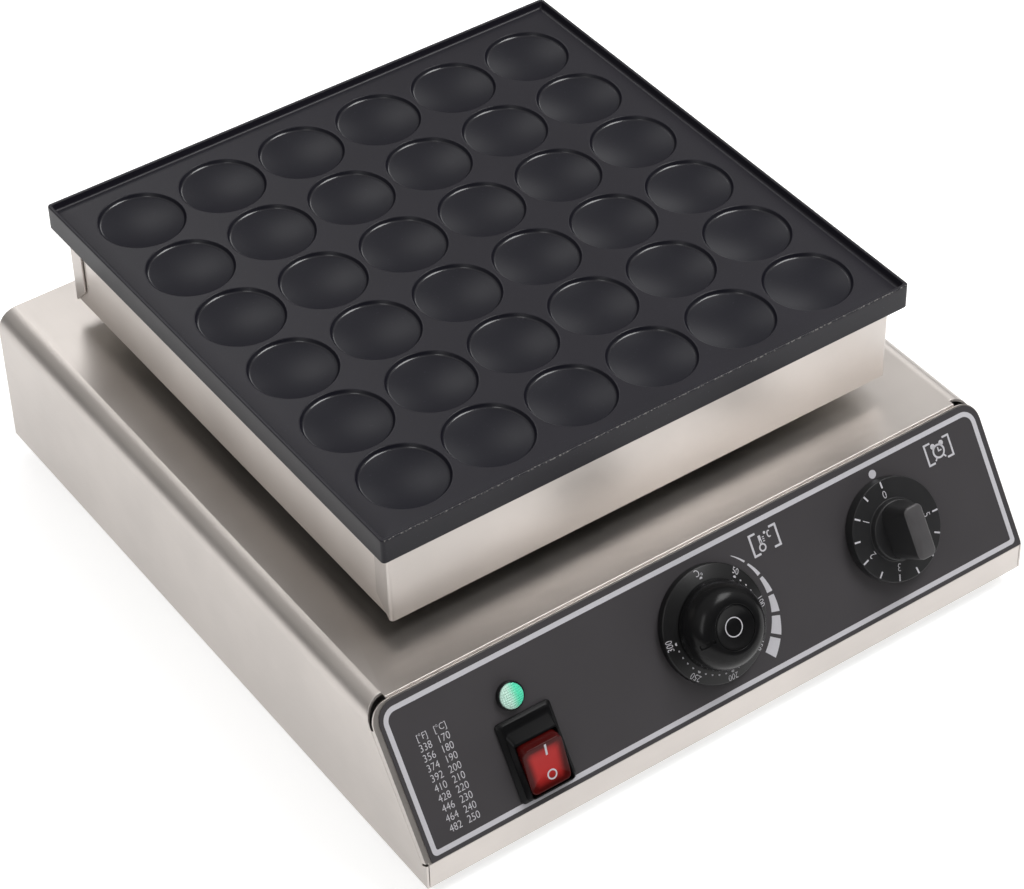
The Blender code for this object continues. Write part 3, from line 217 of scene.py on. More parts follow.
class Look(Nodes):
    """A material with one Principled shader, built from expressions."""

    def __init__(self, name, base, roughness, metallic=0.0, specular=0.5):
        self.material = bpy.data.materials.new(name)
        self.material.use_nodes = True
        self.material.diffuse_color = (*base, 1.0)
        super().__init__(self.material.node_tree)
        self.shader = self.tree.nodes["Principled BSDF"]
        self.constant("Base Color", (*base, 1.0))
        self.constant("Roughness", roughness)
        self.constant("Metallic", metallic)
        self.constant("Specular IOR Level", specular)

    def constant(self, socket, value):
        self.shader.inputs[socket].default_value = value

    def drive(self, socket, signal):
        self.tree.links.new(signal.socket, self.shader.inputs[socket])

    def noise(self, size, detail=2.0, roughness=0.5, stretch=(1.0, 1.0, 1.0)):
        """Noise whose grain has this size in metres, drawn out by the stretch."""
        scale = tuple(1.0 / (size * part) for part in stretch)
        where = self.node("ShaderNodeTexCoord", output="Object")
        spread = self.node("ShaderNodeMapping", inputs={"Vector": where, "Scale": scale})
        inputs = {"Vector": spread, "Scale": 1.0, "Detail": detail, "Roughness": roughness}
        return self.node("ShaderNodeTexNoise", inputs=inputs, output="Fac")

    def mark(self, name):
        """The values that mark_points gives a mesh."""
        return self.node("ShaderNodeAttribute", {"attribute_name": name}, output="Fac")

    def blend(self, factor, first, second):
        """A colour between two."""
        first, second = (
            end if isinstance(end, Signal) else (*end, 1.0) for end in (first, second)
        )
        inputs = {0: factor, 6: first, 7: second}
        return self.node("ShaderNodeMix", {"data_type": "RGBA"}, inputs, output=2)

    def tone(self, factor, base, low, high):
        """Lets the base colour run between two of its shades."""
        self.drive("Base Color", self.blend(factor, shade_of(base, low), shade_of(base, high)))

    def bump(self, height, distance, strength):
        inputs = {"Height": height, "Distance": distance, "Strength": strength}
        self.drive("Normal", self.node("ShaderNodeBump", inputs=inputs))


def shade_of(base, factor):
    return tuple(part * factor for part in base)


def satin_steel(name, base, along):
    """Satin steel sheet with fine brush lines along an axis, soft cloudy stains and low waves."""
    look = Look(name, base, 0.30, metallic=1.0)
    stretch = tuple(60.0 if axis == along else 1.0 for axis in "XYZ")
    lines = look.noise(0.00022, stretch=stretch)
    clouds = look.noise(0.060, detail=3.0)
    grain = look.noise(0.0012, stretch=stretch)
    look.tone(look.ramp(clouds, 0.30, 0.75), base, 0.94, 1.04)
    look.drive("Roughness", lines * 0.10 + grain * 0.06 + clouds * 0.08 + 0.26)
    look.bump(lines * 0.7 + grain * 0.3, 0.000012, 0.35)


def coated_casting(name, base, bare):
    """The plate's satin coating: a fine sprayed tooth, faint clouds and small bright specks. The wells, which the
    mesh marks as bowl, are painted darker, partly for the oil baked into them and partly as painted shade on their
    walls and floors. Baked oil glazes the feet of their walls, and the worn edges show fine broken bare metal."""
    look = Look(name, base, 0.34, specular=0.27)
    look.constant("Coat Roughness", 0.10)
    tooth = look.noise(0.00045, detail=3.0, roughness=0.6)
    clouds = look.noise(0.035, detail=3.0)
    bowl = look.mark("bowl")
    worn = look.mark("worn")
    # Painted shade: the wells' colour is a darker, bluer copy of the coating, partly for baked-in oil and partly
    # standing in for the shade inside them.
    oiled_and_shaded = (base[0] * 0.26, base[1] * 0.27, base[2] * 0.50)
    toned = look.blend(clouds, shade_of(base, 0.86), shade_of(base, 1.16))
    seasoned_and_shaded = look.blend(bowl, toned, oiled_and_shaded)
    specks = look.ramp(look.noise(0.0011, detail=1.0), 0.70, 0.76)
    dusty = look.blend(specks * 0.30, seasoned_and_shaded, shade_of(base, 4.0))
    chips = look.noise(0.0014, detail=4.0, roughness=0.65) + worn * 0.42
    chipped = look.ramp(chips, 0.86, 0.94) * look.ramp(worn, 0.45, 0.80)
    look.drive("Base Color", look.blend(chipped, dusty, bare))
    glaze = look.ramp(look.mark("glazed"), 0.1, 0.6)
    rough = clouds * 0.06 + tooth * 0.06 + bowl * 0.05 + 0.29
    look.drive("Roughness", rough - glaze * 0.12)
    look.drive("Coat Weight", glaze * 0.7)
    look.bump(tooth, 0.00003, 0.28)


def clear_colour(name, base, painted_shading, roughness):
    """Clear coloured plastic whose colour runs to a second one where the mesh's mark grows. The second colour is
    painted shade on the rocker; on the lamp the first colour is a painted highlight.
    """
    look = Look(name, base, roughness, specular=0.15)
    look.constant("Coat Weight", 0.08)
    look.constant("Coat Roughness", 0.10)
    flow = look.noise(0.0060, detail=1.0)
    # Painted shading: how far the colour has run to the second one.
    inside = look.ramp(look.mark("painted_shading") + flow * 0.12, 0.05, 1.0)
    look.drive("Base Color", look.blend(inside, base, painted_shading))
    look.drive("Roughness", flow * 0.06 + (roughness - 0.03))
    look.bump(flow, 0.00004, 0.10)


def grained(name, base, shades, clouds, tooth, rough, bump=None, metallic=0.0, specular=0.5):
    """An even surface whose colour runs between two shades with broad clouds, under a fine tooth.
    Both are noises, given as their size, detail, roughness and stretch. The three numbers of rough
    are the tooth's share, the clouds' share and the least roughness."""
    look = Look(name, base, rough[2], metallic, specular)
    clouds = look.noise(*clouds)
    tooth = look.noise(*tooth)
    look.tone(clouds, base, *shades)
    look.drive("Roughness", tooth * rough[0] + clouds * rough[1] + rough[2])
    if bump:
        look.bump(tooth, *bump)


def moulded(name, base, roughness, tooth_size, tooth_height, specular=0.5):
    """Moulded plastic with the tooth of its mould and faint flow marks."""
    rough = (0.06, 0.06, roughness - 0.06)
    bump = (tooth_height, 0.3)
    grained(name, base, (0.85, 1.2), (0.012,), (tooth_size,), rough, bump, specular=specular)


# Surfaces worked out as arrays


def lifted(plan, height):
    """Loops of points in a plane, each loop at its own height."""
    height = np.broadcast_to(np.reshape(height, (-1, 1, 1)), (*plan.shape[:2], 1))
    return np.concatenate([plan, height], axis=2)


def rounded(corners, steps=6):
    """A polyline whose corners are (x, y, radius). Each corner B gives way to the curve
    (1-t)^2 A + 2t(1-t) B + t^2 C, where A and C lie on its two sides, its radius away. The radius
    of both ends is zero."""
    table = np.array(corners, float)
    corner, reach = table[:, :2], table[:, 2:]
    step = np.diff(corner, axis=0, prepend=2 * corner[:1] - corner[1:2])
    step /= np.linalg.norm(step, axis=1, keepdims=True)
    start = (corner - step * reach)[:, None]
    end = (corner + np.roll(step, -1, axis=0) * reach)[:, None]
    t = np.linspace(0.0, 1.0, steps)[:, None]
    curve = (1 - t) ** 2 * start + 2 * t * (1 - t) * corner[:, None] + t**2 * end
    return curve.reshape(-1, 2)


def turned(profile, sides):
    """A profile of (radius r, height h) turned about Z: each point is (r cos a, r sin a, h)."""
    profile = np.asarray(profile, float)
    angle = np.arange(sides) * math.tau / sides
    ray = np.column_stack([np.cos(angle), np.sin(angle)])
    return lifted(profile[:, :1, None] * ray, profile[:, 1])


def rounded_loops(half_x, half_y, radius, height, corner_steps):
    """One loop for each entry: a rectangle whose corner points are the corner circle's centre plus
    radius times (cos a, sin a), with a running over a quarter turn at each corner."""
    half_x, half_y, radius, height = (
        part[:, None] for part in np.broadcast_arrays(half_x, half_y, radius, height)
    )
    quarter = np.linspace(0.0, math.pi / 2, corner_steps + 1)
    start = np.radians([-90.0, 0.0, 90.0, 180.0])[:, None]
    angle = (start + quarter).reshape(-1)
    sign_x = np.repeat([1.0, 1.0, -1.0, -1.0], len(quarter))
    sign_y = np.repeat([-1.0, 1.0, 1.0, -1.0], len(quarter))
    x = sign_x * (half_x - radius) + radius * np.cos(angle)
    y = sign_y * (half_y - radius) + radius * np.sin(angle)
    return lifted(np.stack([x, y], axis=-1), height)


def capped(loops):
    """Loops with both ends drawn in to their middles."""
    ends = loops[[0, -1]]
    ends = np.broadcast_to(ends.mean(axis=1, keepdims=True), ends.shape)
    return np.concatenate([ends[:1], loops, ends[1:]])


def placed(points, origin, right=(1, 0, 0), up=(0, 1, 0), out=(0, 0, 1)):
    """Points (x, y, z) in millimetres as origin + x right + y up + z out in metres."""
    return np.asarray(points) @ (np.array([right, up, out]) * MM) + np.asarray(origin)


def clean_mesh(mesh, sharp, doubled, join_flat=False):
    """Merges doubled points, joins flat faces or drops empty ones, turns the faces outwards and
    smooths the shading."""
    bm = bmesh.new()
    bm.from_mesh(mesh)
    bmesh.ops.remove_doubles(bm, verts=bm.verts, dist=doubled)
    if join_flat:
        flat = math.radians(0.5)
        bmesh.ops.dissolve_limit(
            bm, angle_limit=flat, verts=bm.verts, edges=bm.edges, delimit=set()
        )
    else:
        bmesh.ops.dissolve_degenerate(bm, dist=1e-7, edges=bm.edges)
    bmesh.ops.recalc_face_normals(bm, faces=bm.faces)
    bm.to_mesh(mesh)
    bm.free()
    if mesh.has_custom_normals:
        mesh.normals_split_custom_set([(0.0, 0.0, 0.0)] * len(mesh.loops))
    mesh.shade_smooth()
    mesh.set_sharp_from_angle(angle=math.radians(sharp))


def add_object(name, data):
    """Puts an object with this data in the scene."""
    made = bpy.data.objects.new(name, data)
    bpy.context.scene.collection.objects.link(made)
    return made


def settle(piece, look, body, stands_for=()):
    """Gives a piece its material, its body and the nodes it stands for."""
    piece.data.materials.clear()
    piece.data.materials.append(bpy.data.materials[look])
    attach(piece, body)
    if stands_for:
        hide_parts(*stands_for)
    return piece


def surface(name, parts, look, body, stands_for=(), sharp=SMOOTH):
    """Makes one piece from grids of points, with quads between neighbouring rows and columns. The
    last column joins the first."""
    points = []
    quads = []
    count = 0
    for grid in parts:
        rows, columns = grid.shape[:2]
        row = np.arange(rows - 1)[:, None] * columns + count
        column = np.arange(columns)
        after = (column + 1) % columns
        corners = (row + column, row + after, row + columns + after, row + columns + column)
        quads.append(np.stack(corners, axis=-1).reshape(-1, 4))
        points.append(grid.reshape(-1, 3))
        count += rows * columns
    mesh = bpy.data.meshes.new(name)
    mesh.from_pydata(np.concatenate(points).tolist(), [], np.concatenate(quads).tolist())
    clean_mesh(mesh, sharp, 1e-6)
    return settle(add_object(name, mesh), look, body, stands_for)


def softened(node, look, edge):
    """A merged copy of a packed sheet piece, with its flat faces joined and its edges softened."""
    mesh = frame["nodes"][node].data.copy()
    mesh.name = node + "_sheet"
    clean_mesh(mesh, SMOOTH, 2e-6, join_flat=True)
    piece = settle(add_object(mesh.name, mesh), look, "cooker", (node,))
    if edge > 0.0:
        bevel = piece.modifiers.new("Softened edges", "BEVEL")
        bevel.width = edge
        bevel.segments = 2
        bevel.limit_method = "ANGLE"
        bevel.angle_limit = math.radians(40.0)
        bevel.harden_normals = True


def node_place(node):
    """The middle, the lowest corner and the highest corner of a packed node."""
    low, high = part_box(node)
    return (low + high) / 2, low, high


def mark_points(piece, name, share):
    """Gives each point of a piece a value, worked out from all its points at once."""
    mesh = piece.data
    points = np.empty(len(mesh.vertices) * 3)
    mesh.vertices.foreach_get("co", points)
    values = np.clip(share(points.reshape(-1, 3)), 0.0, 1.0)
    mesh.attributes.new(name, "FLOAT", "POINT").data.foreach_set("value", values)


# Shapes on the slanted panel, in millimetres


class PanelSpot:
    """A place on the slanted panel: the middle of its top edge, or a joint's axis where it passes
    through the panel. Its x runs to the right, y up the slope and z out."""

    def __init__(self, scene, joint=None):
        sizes = scene.griddle_panel_look
        _middle, low, high = node_place("base_shell")
        lean = math.atan2(sizes.run, high.z - low.z - sizes.apron)
        self.right = np.array([1.0, 0.0, 0.0])
        self.up = np.array([0.0, math.sin(lean), math.cos(lean)])
        self.out = np.array([0.0, -math.cos(lean), math.sin(lean)])
        self.origin = np.array([0.0, low.y + sizes.run, high.z])
        if joint:
            entry = next(part for part in frame["joints"] if part["name"] == joint)
            self.pivot = np.array(entry["pos_m"])
            self.origin = self.pivot - (self.pivot - self.origin) @ self.out * self.out

    def put(self, points, x=0.0, y=0.0, z=0.0):
        """Local points, moved by x, y and z, in the model."""
        return placed(points + (x, y, z), self.origin, self.right, self.up, self.out)

    def matrix(self, x, y, z, turn=0.0, tilt=0.0):
        """Lays a flat shape on the panel, turned about the panel's normal and then tilted."""
        basis = Matrix((self.right, self.up, self.out)).transposed().to_4x4()
        spin = Matrix.Rotation(turn, 4, "Z") @ Matrix.Rotation(tilt, 4, "X")
        return Matrix.Translation(Vector(self.put(np.zeros(3), x, y, z))) @ basis @ spin


def thin_edges(first, second, rise):
    """The long edges of a thin strip: up from the first line and down to the second."""
    return [
        np.column_stack([line, np.full(len(line), height)])
        for line, height in ((first, 0.0), (first, rise), (second, rise), (second, 0.0))
    ]


def band_shape(outer, inner, rise=PRINT_RISE):
    """A thin closed band between two outlines."""
    edges = thin_edges(outer, inner, rise)
    return np.stack([*edges, edges[0]])


def flat_shape(outline):
    """A thin closed plate with a given outline."""
    return capped(np.stack(thin_edges(outline, outline, PRINT_RISE)[:2]))


def strip_shape(near, far):
    """A thin closed strip between two lines of as many points."""
    return capped(np.stack(thin_edges(near, far, PRINT_RISE), axis=1))


def stroke(points, width):
    """A thin raised line along a polyline: at each point the outline steps half the width to either
    side, along the mean of its two edge normals."""
    points = np.asarray(points, float)
    along = np.gradient(points, axis=0)
    along /= np.linalg.norm(along, axis=1, keepdims=True)
    side = np.column_stack([-along[:, 1], along[:, 0]]) * width / 2
    return strip_shape(points + side, points - side)


def bar_shape(middle, direction, size, width):
    """A straight raised line through a middle, as a stroke of two points."""
    middle = np.asarray(middle, float)
    step = np.asarray(direction, float) * size / 2
    return stroke([middle - step, middle + step], width)


def circle(radius, count=48, centre=(0.0, 0.0), arc=None):
    """Points of a circle, or of an arc between two angles: the centre plus radius times
    (cos a, sin a), with one radius or one for each point."""
    start, end = arc or (0.0, math.tau)
    angle = np.linspace(start, end, count, endpoint=bool(arc))
    return np.asarray(centre) + (radius * np.stack([np.cos(angle), np.sin(angle)])).T


def clock(degrees):
    """The unit vector at an angle clockwise from the top."""
    angle = math.radians(degrees)
    return np.array([math.sin(angle), math.cos(angle)])


def marks(name, shapes, body):
    """Printed shapes, as one piece."""
    surface(name, shapes, "Pale print", body, sharp=PRINTED)


def figures(name, items, body, width_share):
    """Printed figures. Each item is (text, size, matrix), and all of them become one mesh."""
    joined = bmesh.new()
    for text, size, matrix in items:
        letters = bpy.data.curves.new(name, "FONT")
        letters.body = text
        letters.size = size * MM
        letters.align_x = "CENTER"
        letters.align_y = "CENTER"
        letters.resolution_u = 4
        letters.extrude = PRINT_RISE / 2 * MM
        letters.offset = -0.010 * size * MM
        holder = add_object(name, letters)
        graph = bpy.context.evaluated_depsgraph_get()
        flat = bpy.data.meshes.new_from_object(holder.evaluated_get(graph))
        flat.transform(matrix @ Matrix.Diagonal((width_share, 1.0, 1.0, 1.0)))
        joined.from_mesh(flat)
        bpy.data.objects.remove(holder)
        bpy.data.curves.remove(letters)
        bpy.data.meshes.remove(flat)
    bmesh.ops.remove_doubles(joined, verts=joined.verts, dist=1e-7)
    bmesh.ops.recalc_face_normals(joined, faces=joined.faces)
    mesh = bpy.data.meshes.new(name)
    joined.to_mesh(mesh)
    joined.free()
    mesh.set_sharp_from_angle(angle=math.radians(PRINTED))
    settle(add_object(name, mesh), "Pale print", body)


# Materials


def make_materials(scene):
    """Makes every material from the colours in the sidebar."""
    plate = scene.griddle_plate_look
    steel = scene.griddle_steel_look
    panel = scene.griddle_panel_look
    controls = scene.griddle_control_look
    satin_steel("Steel brushed across", steel.steel, "X")
    satin_steel("Steel brushed lengthwise", steel.steel, "Y")
    # Painted light: the housing's side sheets get a lighter copy of the same steel, standing in for the light on
    # them.
    satin_steel("Painted-light steel brushed lengthwise", shade_of(steel.steel, 1.25), "Y")
    satin_steel("Heat tinted sheath", (0.20, 0.17, 0.14), "X")
    coated_casting("Coated casting", plate.coating, plate.bare_metal)
    # Painted shade: the rocker's red darkens to near black at its ends, its long edges, its sides and along its
    # raised end.
    clear_colour("Clear red", controls.rocker, shade_of(controls.rocker, 0.12), 0.22)
    # Painted highlight: the lamp's lens is whitish green at its left and runs to its own green at its right.
    clear_colour("Clear green", (0.62, 0.90, 0.78), controls.lamp, 0.16)
    for name, base, *finish in (
        ("Glossy black resin", controls.gloss_black, 0.22, 0.0006, 0.000005, 0.16),
        ("Satin black resin", controls.ring_black, 0.34, 0.0005, 0.000012, 0.3),
        ("Switch black", (0.0035, 0.0035, 0.0040), 0.36, 0.0005, 0.000012, 0.16),
        ("Matt black plastic", controls.matt_black, 0.42, 0.0005, 0.00002, 0.35),
        ("Worn bar top", controls.bar_top, 0.46, 0.0005, 0.00003),
        ("Grey plastic", (0.22, 0.23, 0.24), 0.5, 0.0005, 0.00002),
        ("White ceramic", (0.72, 0.70, 0.64), 0.45, 0.0004, 0.00003),
    ):
        moulded(name, base, *finish)
    grained(
        "Zinc plating",
        steel.zinc,
        (0.85, 1.1),
        clouds=(0.004, 3.0),
        tooth=(0.0004,),
        rough=(0.0, 0.2, 0.3),
        bump=(0.00001, 0.4),
        metallic=1.0,
    )
    grained(
        "Label film",
        panel.label,
        (0.88, 1.12),
        clouds=(0.050,),
        tooth=(0.00035,),
        rough=(0.08, 0.0, 0.40),
        bump=(0.00002, 0.22),
        specular=0.4,
    )
    cover = (0.0008,)
    grained("Pale print", panel.print_white, (0.90, 1.0), cover, cover, (0.1, 0.0, 0.4))
    dust = (0.0006, 3.0)
    base = (0.018, 0.018, 0.018)
    grained("Black rubber", base, (0.8, 1.4), dust, dust, (0.15, 0.0, 0.68), (0.00006, 0.4))
    wool = (0.0015, 4.0, 0.5, (4.0, 1.0, 1.0))
    base = (0.74, 0.73, 0.70)
    grained("Mineral fibre", base, (0.75, 1.0), wool, wool, (0.1, 0.0, 0.88), (0.0004, 0.6))


SLOT_LOOKS = {
    "coated_casting": "Coated casting",
    "brushed_steel": "Steel brushed across",
    "zinc_steel": "Zinc plating",
    "heater_steel": "Heat tinted sheath",
    "fibre": "Mineral fibre",
    "label_film": "Label film",
    "black_gloss": "Glossy black resin",
    "black_matt": "Matt black plastic",
    "red_lens": "Clear red",
    "green_lens": "Clear green",
    "rubber": "Black rubber",
    "white_ceramic": "White ceramic",
    "grey_plastic": "Grey plastic",
}


class GRIDDLE_OT_materials(bpy.types.Operator):
    """Make the materials and put them on every packed piece"""

    bl_idname = "griddle.materials"
    bl_label = "Materials"

    def execute(self, context):
        make_materials(context.scene)
        for subpart in frame["record"]["subparts"]:
            for slot in frame["nodes"][subpart["node"]].material_slots:
                slot.material = bpy.data.materials[SLOT_LOOKS[subpart["material_slot"]]]
        return {"FINISHED"}


# The cast plate

# Steps along one side of a well's cell
DIVISIONS = 13


def well_profile(sizes):
    """A well from its middle out: the floor rises with the square of the radius to the foot of the
    steep wall, and the wall's foot and the mouth are rounded."""
    mouth = sizes.well_diameter / 2
    foot = mouth - 1.3 * MM
    dish = sizes.well_depth - sizes.wall_depth
    radius = np.linspace(0.0, foot - 1.0 * MM, 10)
    floor = np.column_stack([radius, -sizes.well_depth + dish * (radius / foot) ** 2])
    corners = (
        (*floor[-1], 0.0),
        (foot, -sizes.wall_depth, 0.8 * MM),
        (mouth, 0.0, sizes.lip),
        (mouth + 0.7 * MM, 0.0, 0.0),
    )
    return np.concatenate([floor[:-1], rounded(corners, 9)[8:]])


def well_cells(sizes, centre):
    """The land and wells in square cells. In a cell every point lies on a ray from its middle:
    rings of the well's profile first, and then steps that blend its mouth circle into the edge."""
    step = np.linspace(-1.0, 1.0, DIVISIONS, endpoint=False)
    one = np.ones(DIVISIONS)
    sides = ((one, step), (-step, one), (-one, -step), (step, -one))
    square = np.concatenate([np.column_stack(side) for side in sides])
    ray = square / np.linalg.norm(square, axis=1, keepdims=True)
    profile = well_profile(sizes)
    rings = profile[:, :1, None] * ray
    edge = square * sizes.well_pitch / 2
    plan = np.concatenate([rings, [(rings[-1] + edge) / 2, edge]])
    cell = lifted(plan, np.append(profile[:, 1], (0.0, 0.0))) + np.array(centre)
    count = sizes.wells_per_side
    places = (np.arange(count) - (count - 1) / 2) * sizes.well_pitch
    return [cell + np.array([x, y, 0.0]) for y in places for x in places]


def plate_border(sizes, centre, half, thickness):
    """The margin, rim, sides and underside. Each loop is a square with straight sides divided as
    the cells are, and corner arcs of its own radius, which is zero where it meets the cells."""
    cells = sizes.wells_per_side * sizes.well_pitch / 2
    top = sizes.rim_height
    bottom = top - thickness
    inner = half - sizes.rim_width
    corners = (
        (cells, 0.0, 0.0),
        (inner - 0.9 * MM, 0.0, 1.6 * MM),
        (inner, top, 0.35 * MM),
        (half, top, 0.7 * MM),
        (half, top - 2.0 * MM, 0.0),
        (half, bottom, 0.6 * MM),
        (half - 6.0 * MM, bottom, 0.0),
    )
    path = rounded(corners, 7)
    path = np.concatenate([path[6:-6], path[-1:]])
    reach = path[:, :1]
    corner = np.clip((reach - cells) / (half - cells), 0.0, 1.0) * sizes.corner
    corner[0] = 0.0
    middle = reach - corner
    straight = np.linspace(-1.0, 1.0, sizes.wells_per_side * DIVISIONS + 1) * middle
    arc = np.linspace(0.0, math.pi / 2, 9)[1:-1]
    right = np.broadcast_to(reach, straight.shape)
    x = np.concatenate([right, middle + corner * np.cos(arc)], axis=1)
    y = np.concatenate([straight, middle + corner * np.sin(arc)], axis=1)
    sides = ((x, y), (-y, x), (-x, -y), (y, -x))
    plan = np.concatenate([np.stack(side, axis=-1) for side in sides], axis=1)
    return capped(lifted(plan, path[:, 1]) + np.array(centre))[1:]


class GRIDDLE_OT_plate(bpy.types.Operator):
    """Make the cast plate with its wells, land and rim"""

    bl_idname = "griddle.plate"
    bl_label = "Cast plate"

    def execute(self, context):
        sizes = context.scene.griddle_plate_look
        middle, low, high = node_place("griddle_plate")
        land = high.z - sizes.rim_height
        side_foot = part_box("housing_left")[1].z + 0.3 * MM
        centre = (middle.x, middle.y, land)
        half = (high.x - low.x) / 2
        plate = surface(
            "Plate_casting",
            [*well_cells(sizes, centre), plate_border(sizes, centre, half, high.z - side_foot)],
            "Coated casting",
            "cooker",
            ("griddle_plate",),
            MOULDED,
        )

        def front_edge(points):
            """One on the rim's top edge at the front, falling to zero over 2 mm."""
            return 1.0 - np.hypot(points[:, 1] - low.y, high.z - points[:, 2]) / (2.0 * MM)

        def sunk(points):
            """Zero on the land and one from 0.35 mm below it."""
            return (land - 0.05 * MM - points[:, 2]) / (0.3 * MM)

        def wall_foot(points):
            """One at the height of the wells' wall feet, falling to zero over 0.4 mm."""
            reach = np.abs(points[:, :2] - np.array([middle.x, middle.y])).max(axis=1)
            height = np.abs(land - 1.75 * MM - points[:, 2])
            return (1.0 - height / (0.4 * MM)) * (reach < half - 5.0 * MM)

        mark_points(plate, "worn", front_edge)
        mark_points(plate, "bowl", sunk)
        mark_points(plate, "glazed", wall_foot)
        return {"FINISHED"}


SHEET_LOOKS = (
    ("Steel brushed across", ("housing_front", "housing_rear", "front_panel", "back_panel")),
    # The side sheets take the lighter copy of the steel: painted light.
    ("Painted-light steel brushed lengthwise", ("housing_left", "housing_right")),
    ("Steel brushed lengthwise", ("base_shell",)),
)


class GRIDDLE_OT_sheets(bpy.types.Operator):
    """Soften the edges of the steel sheets and give each its own brushing direction, the side sheets a lighter
    copy of the steel as painted light
    """

    bl_idname = "griddle.sheets"
    bl_label = "Steel sheets"

    def execute(self, context):
        for look, nodes in SHEET_LOOKS:
            for node in nodes:
                softened(node, look, context.scene.griddle_steel_look.edge)
        return {"FINISHED"}


# The label, in millimetres


def border_line(width):
    """The label's line: a band between two rectangles, rounder at their top corners. Each corner is
    an arc of its own radius."""
    outlines = []
    for inset, top, foot in ((0.0, 7.5, 2.5), (width, 5.0, 1.0)):
        half_x, half_y = 177.15 - inset, 37.0 - inset
        arcs = []
        corners = ((1, -1, foot), (1, 1, top), (-1, 1, top), (-1, -1, foot))
        for quarter, (side, end, radius) in enumerate(corners, -1):
            centre = (side * (half_x - radius), end * (half_y - radius))
            start = quarter * math.pi / 2
            arcs.append(circle(radius, 12, centre, (start, start + math.pi / 2)))
        outlines.append(np.concatenate(arcs))
    return band_shape(*outlines)


def wedge_scale():
    """Six steps that grow round the right side of the thermostat. Each lies between an inner arc
    and an outer one whose radius grows with the angle, which is clockwise from the top."""
    steps = (
        (39.5, 53.7, 33.9, 34.6),
        (57.4, 71.4, 34.6, 35.5),
        (74.4, 88.8, 35.5, 36.8),
        (91.6, 105.4, 36.8, 38.2),
        (108.5, 122.6, 38.2, 39.6),
        (125.5, 139.1, 39.6, 40.2),
    )
    inner, count = 33.6, 12
    shapes = []
    for start, end, narrow, wide in steps:
        arc = (math.radians(90.0 - start), math.radians(90.0 - end))
        outer = np.linspace(narrow, wide, count)
        shapes.append(strip_shape(circle(inner, count, arc=arc), circle(outer, count, arc=arc)))
    return shapes


def brackets(half_x, half_y, lip, width):
    """A pair of square brackets."""
    edge = width / 2
    shapes = []
    for side in (-1.0, 1.0):
        spine = side * half_x
        shapes.append(stroke([(spine, -half_y - edge), (spine, half_y + edge)], width))
        for end in (-half_y, half_y):
            tip = spine + side * (edge - lip)
            shapes.append(stroke([(spine - side * edge, end), (tip, end)], width))
    return shapes


def thermometer_sign():
    """A thermometer with a ring for its bulb, three marks and the sign for degrees, in brackets."""
    bulb = (-2.28, -2.67)
    letter = circle(1.0, 24, arc=(math.radians(50), math.radians(310))) * (0.90, 1.55) + (3.3, 2.2)
    return [
        *brackets(7.85, 5.3, 4.2, 1.1),
        band_shape(circle(2.1, 32, bulb), circle(1.3, 32, bulb)),
        bar_shape((-2.45, 2.3), (0.0, 1.0), 2.6, 1.5),
        *(bar_shape((x, 0.1), (0.0, 1.0), 1.8, 0.5) for x in (-2.9, -1.9)),
        *(bar_shape((-0.4, y), (1.0, 0.0), 1.1, 0.45) for y in (2.1, 1.1, 0.0)),
        flat_shape(circle(0.7, 20, (1.05, 3.75))),
        stroke(letter, 0.65),
    ]


def clock_sign():
    """An alarm clock with two bells and two feet, in brackets."""
    middle = np.array([-0.15, -0.3])
    shapes = [
        *brackets(7.7, 5.3, 4.2, 1.0),
        band_shape(circle(3.75, 40, middle), circle(2.75, 40, middle)),
        bar_shape(middle + (0.0, 1.0), (0.0, 1.0), 2.3, 0.75),
        bar_shape(middle + (0.8, 0.1), (1.0, 0.0), 2.1, 0.75),
    ]
    for side in (-1.0, 1.0):
        foot = clock(180.0 - side * 38.0)
        shapes.append(flat_shape(circle(1.4, 20, middle + (side * 2.65, 3.4))))
        shapes.append(bar_shape(middle + foot * 4.4, foot, 1.8, 0.8))
    return shapes


class GRIDDLE_OT_label(bpy.types.Operator):
    """Make the label with its border line and the plain printed signs"""

    bl_idname = "griddle.label"
    bl_label = "Panel label"

    def execute(self, context):
        top = PanelSpot(context.scene)
        control = PanelSpot(context.scene, "thermostat_turn")
        line = context.scene.griddle_panel_look.line / MM
        signs = (
            (top, (0.75, -41.0), [border_line(line)]),
            (control, (1.1, -0.7), wedge_scale()),
            (top, (41.95, -16.0), thermometer_sign()),
            (top, (151.9, -16.2), clock_sign()),
            (top, (111.1, -11.4), [flat_shape(circle(2.2))]),
        )
        softened("panel_label", "Label film", 0.0)
        shapes = [
            spot.put(shape, *place, LABEL_FACE) for spot, place, group in signs for shape in group
        ]
        marks("Label_signs", shapes, "cooker")
        self.table(top)
        return {"FINISHED"}

    def table(self, top):
        """Nine temperatures in two columns, one for each unit, under their headings."""
        height = LABEL_FACE + PRINT_RISE / 2
        items = []
        for heading, x, first, step in (("[°F]", -160.9, 338, 18), ("[°C]", -150.9, 170, 10)):
            items.append((heading, 4.6, top.matrix(x, -23.5, height)))
            for row in range(9):
                place = top.matrix(x, -28.8 - 5.11 * row, height)
                items.append((str(first + step * row), 5.3, place))
        figures("Label_table", items, "cooker", 0.88)


# The controls, in millimetres


def lower_along(points, start, end, width, depth):
    """Sinks points under a straight groove in the local XY plane. The depth fades with a smooth
    step across its edges and at its ends."""
    size = np.linalg.norm(end - start)
    axis = (end - start) / size
    offset = points[..., :2] - start
    along = offset @ axis
    across = np.abs(offset[..., 0] * -axis[1] + offset[..., 1] * axis[0])
    blur = 0.22
    edge = np.clip((width / 2 - across) / blur, 0.0, 1.0)
    ends = np.clip(np.minimum(along, size - along) / blur, 0.0, 1.0)
    share = edge * ends
    sunk = points.copy()
    sunk[..., 2] -= depth * share * share * (3.0 - 2.0 * share)
    return sunk


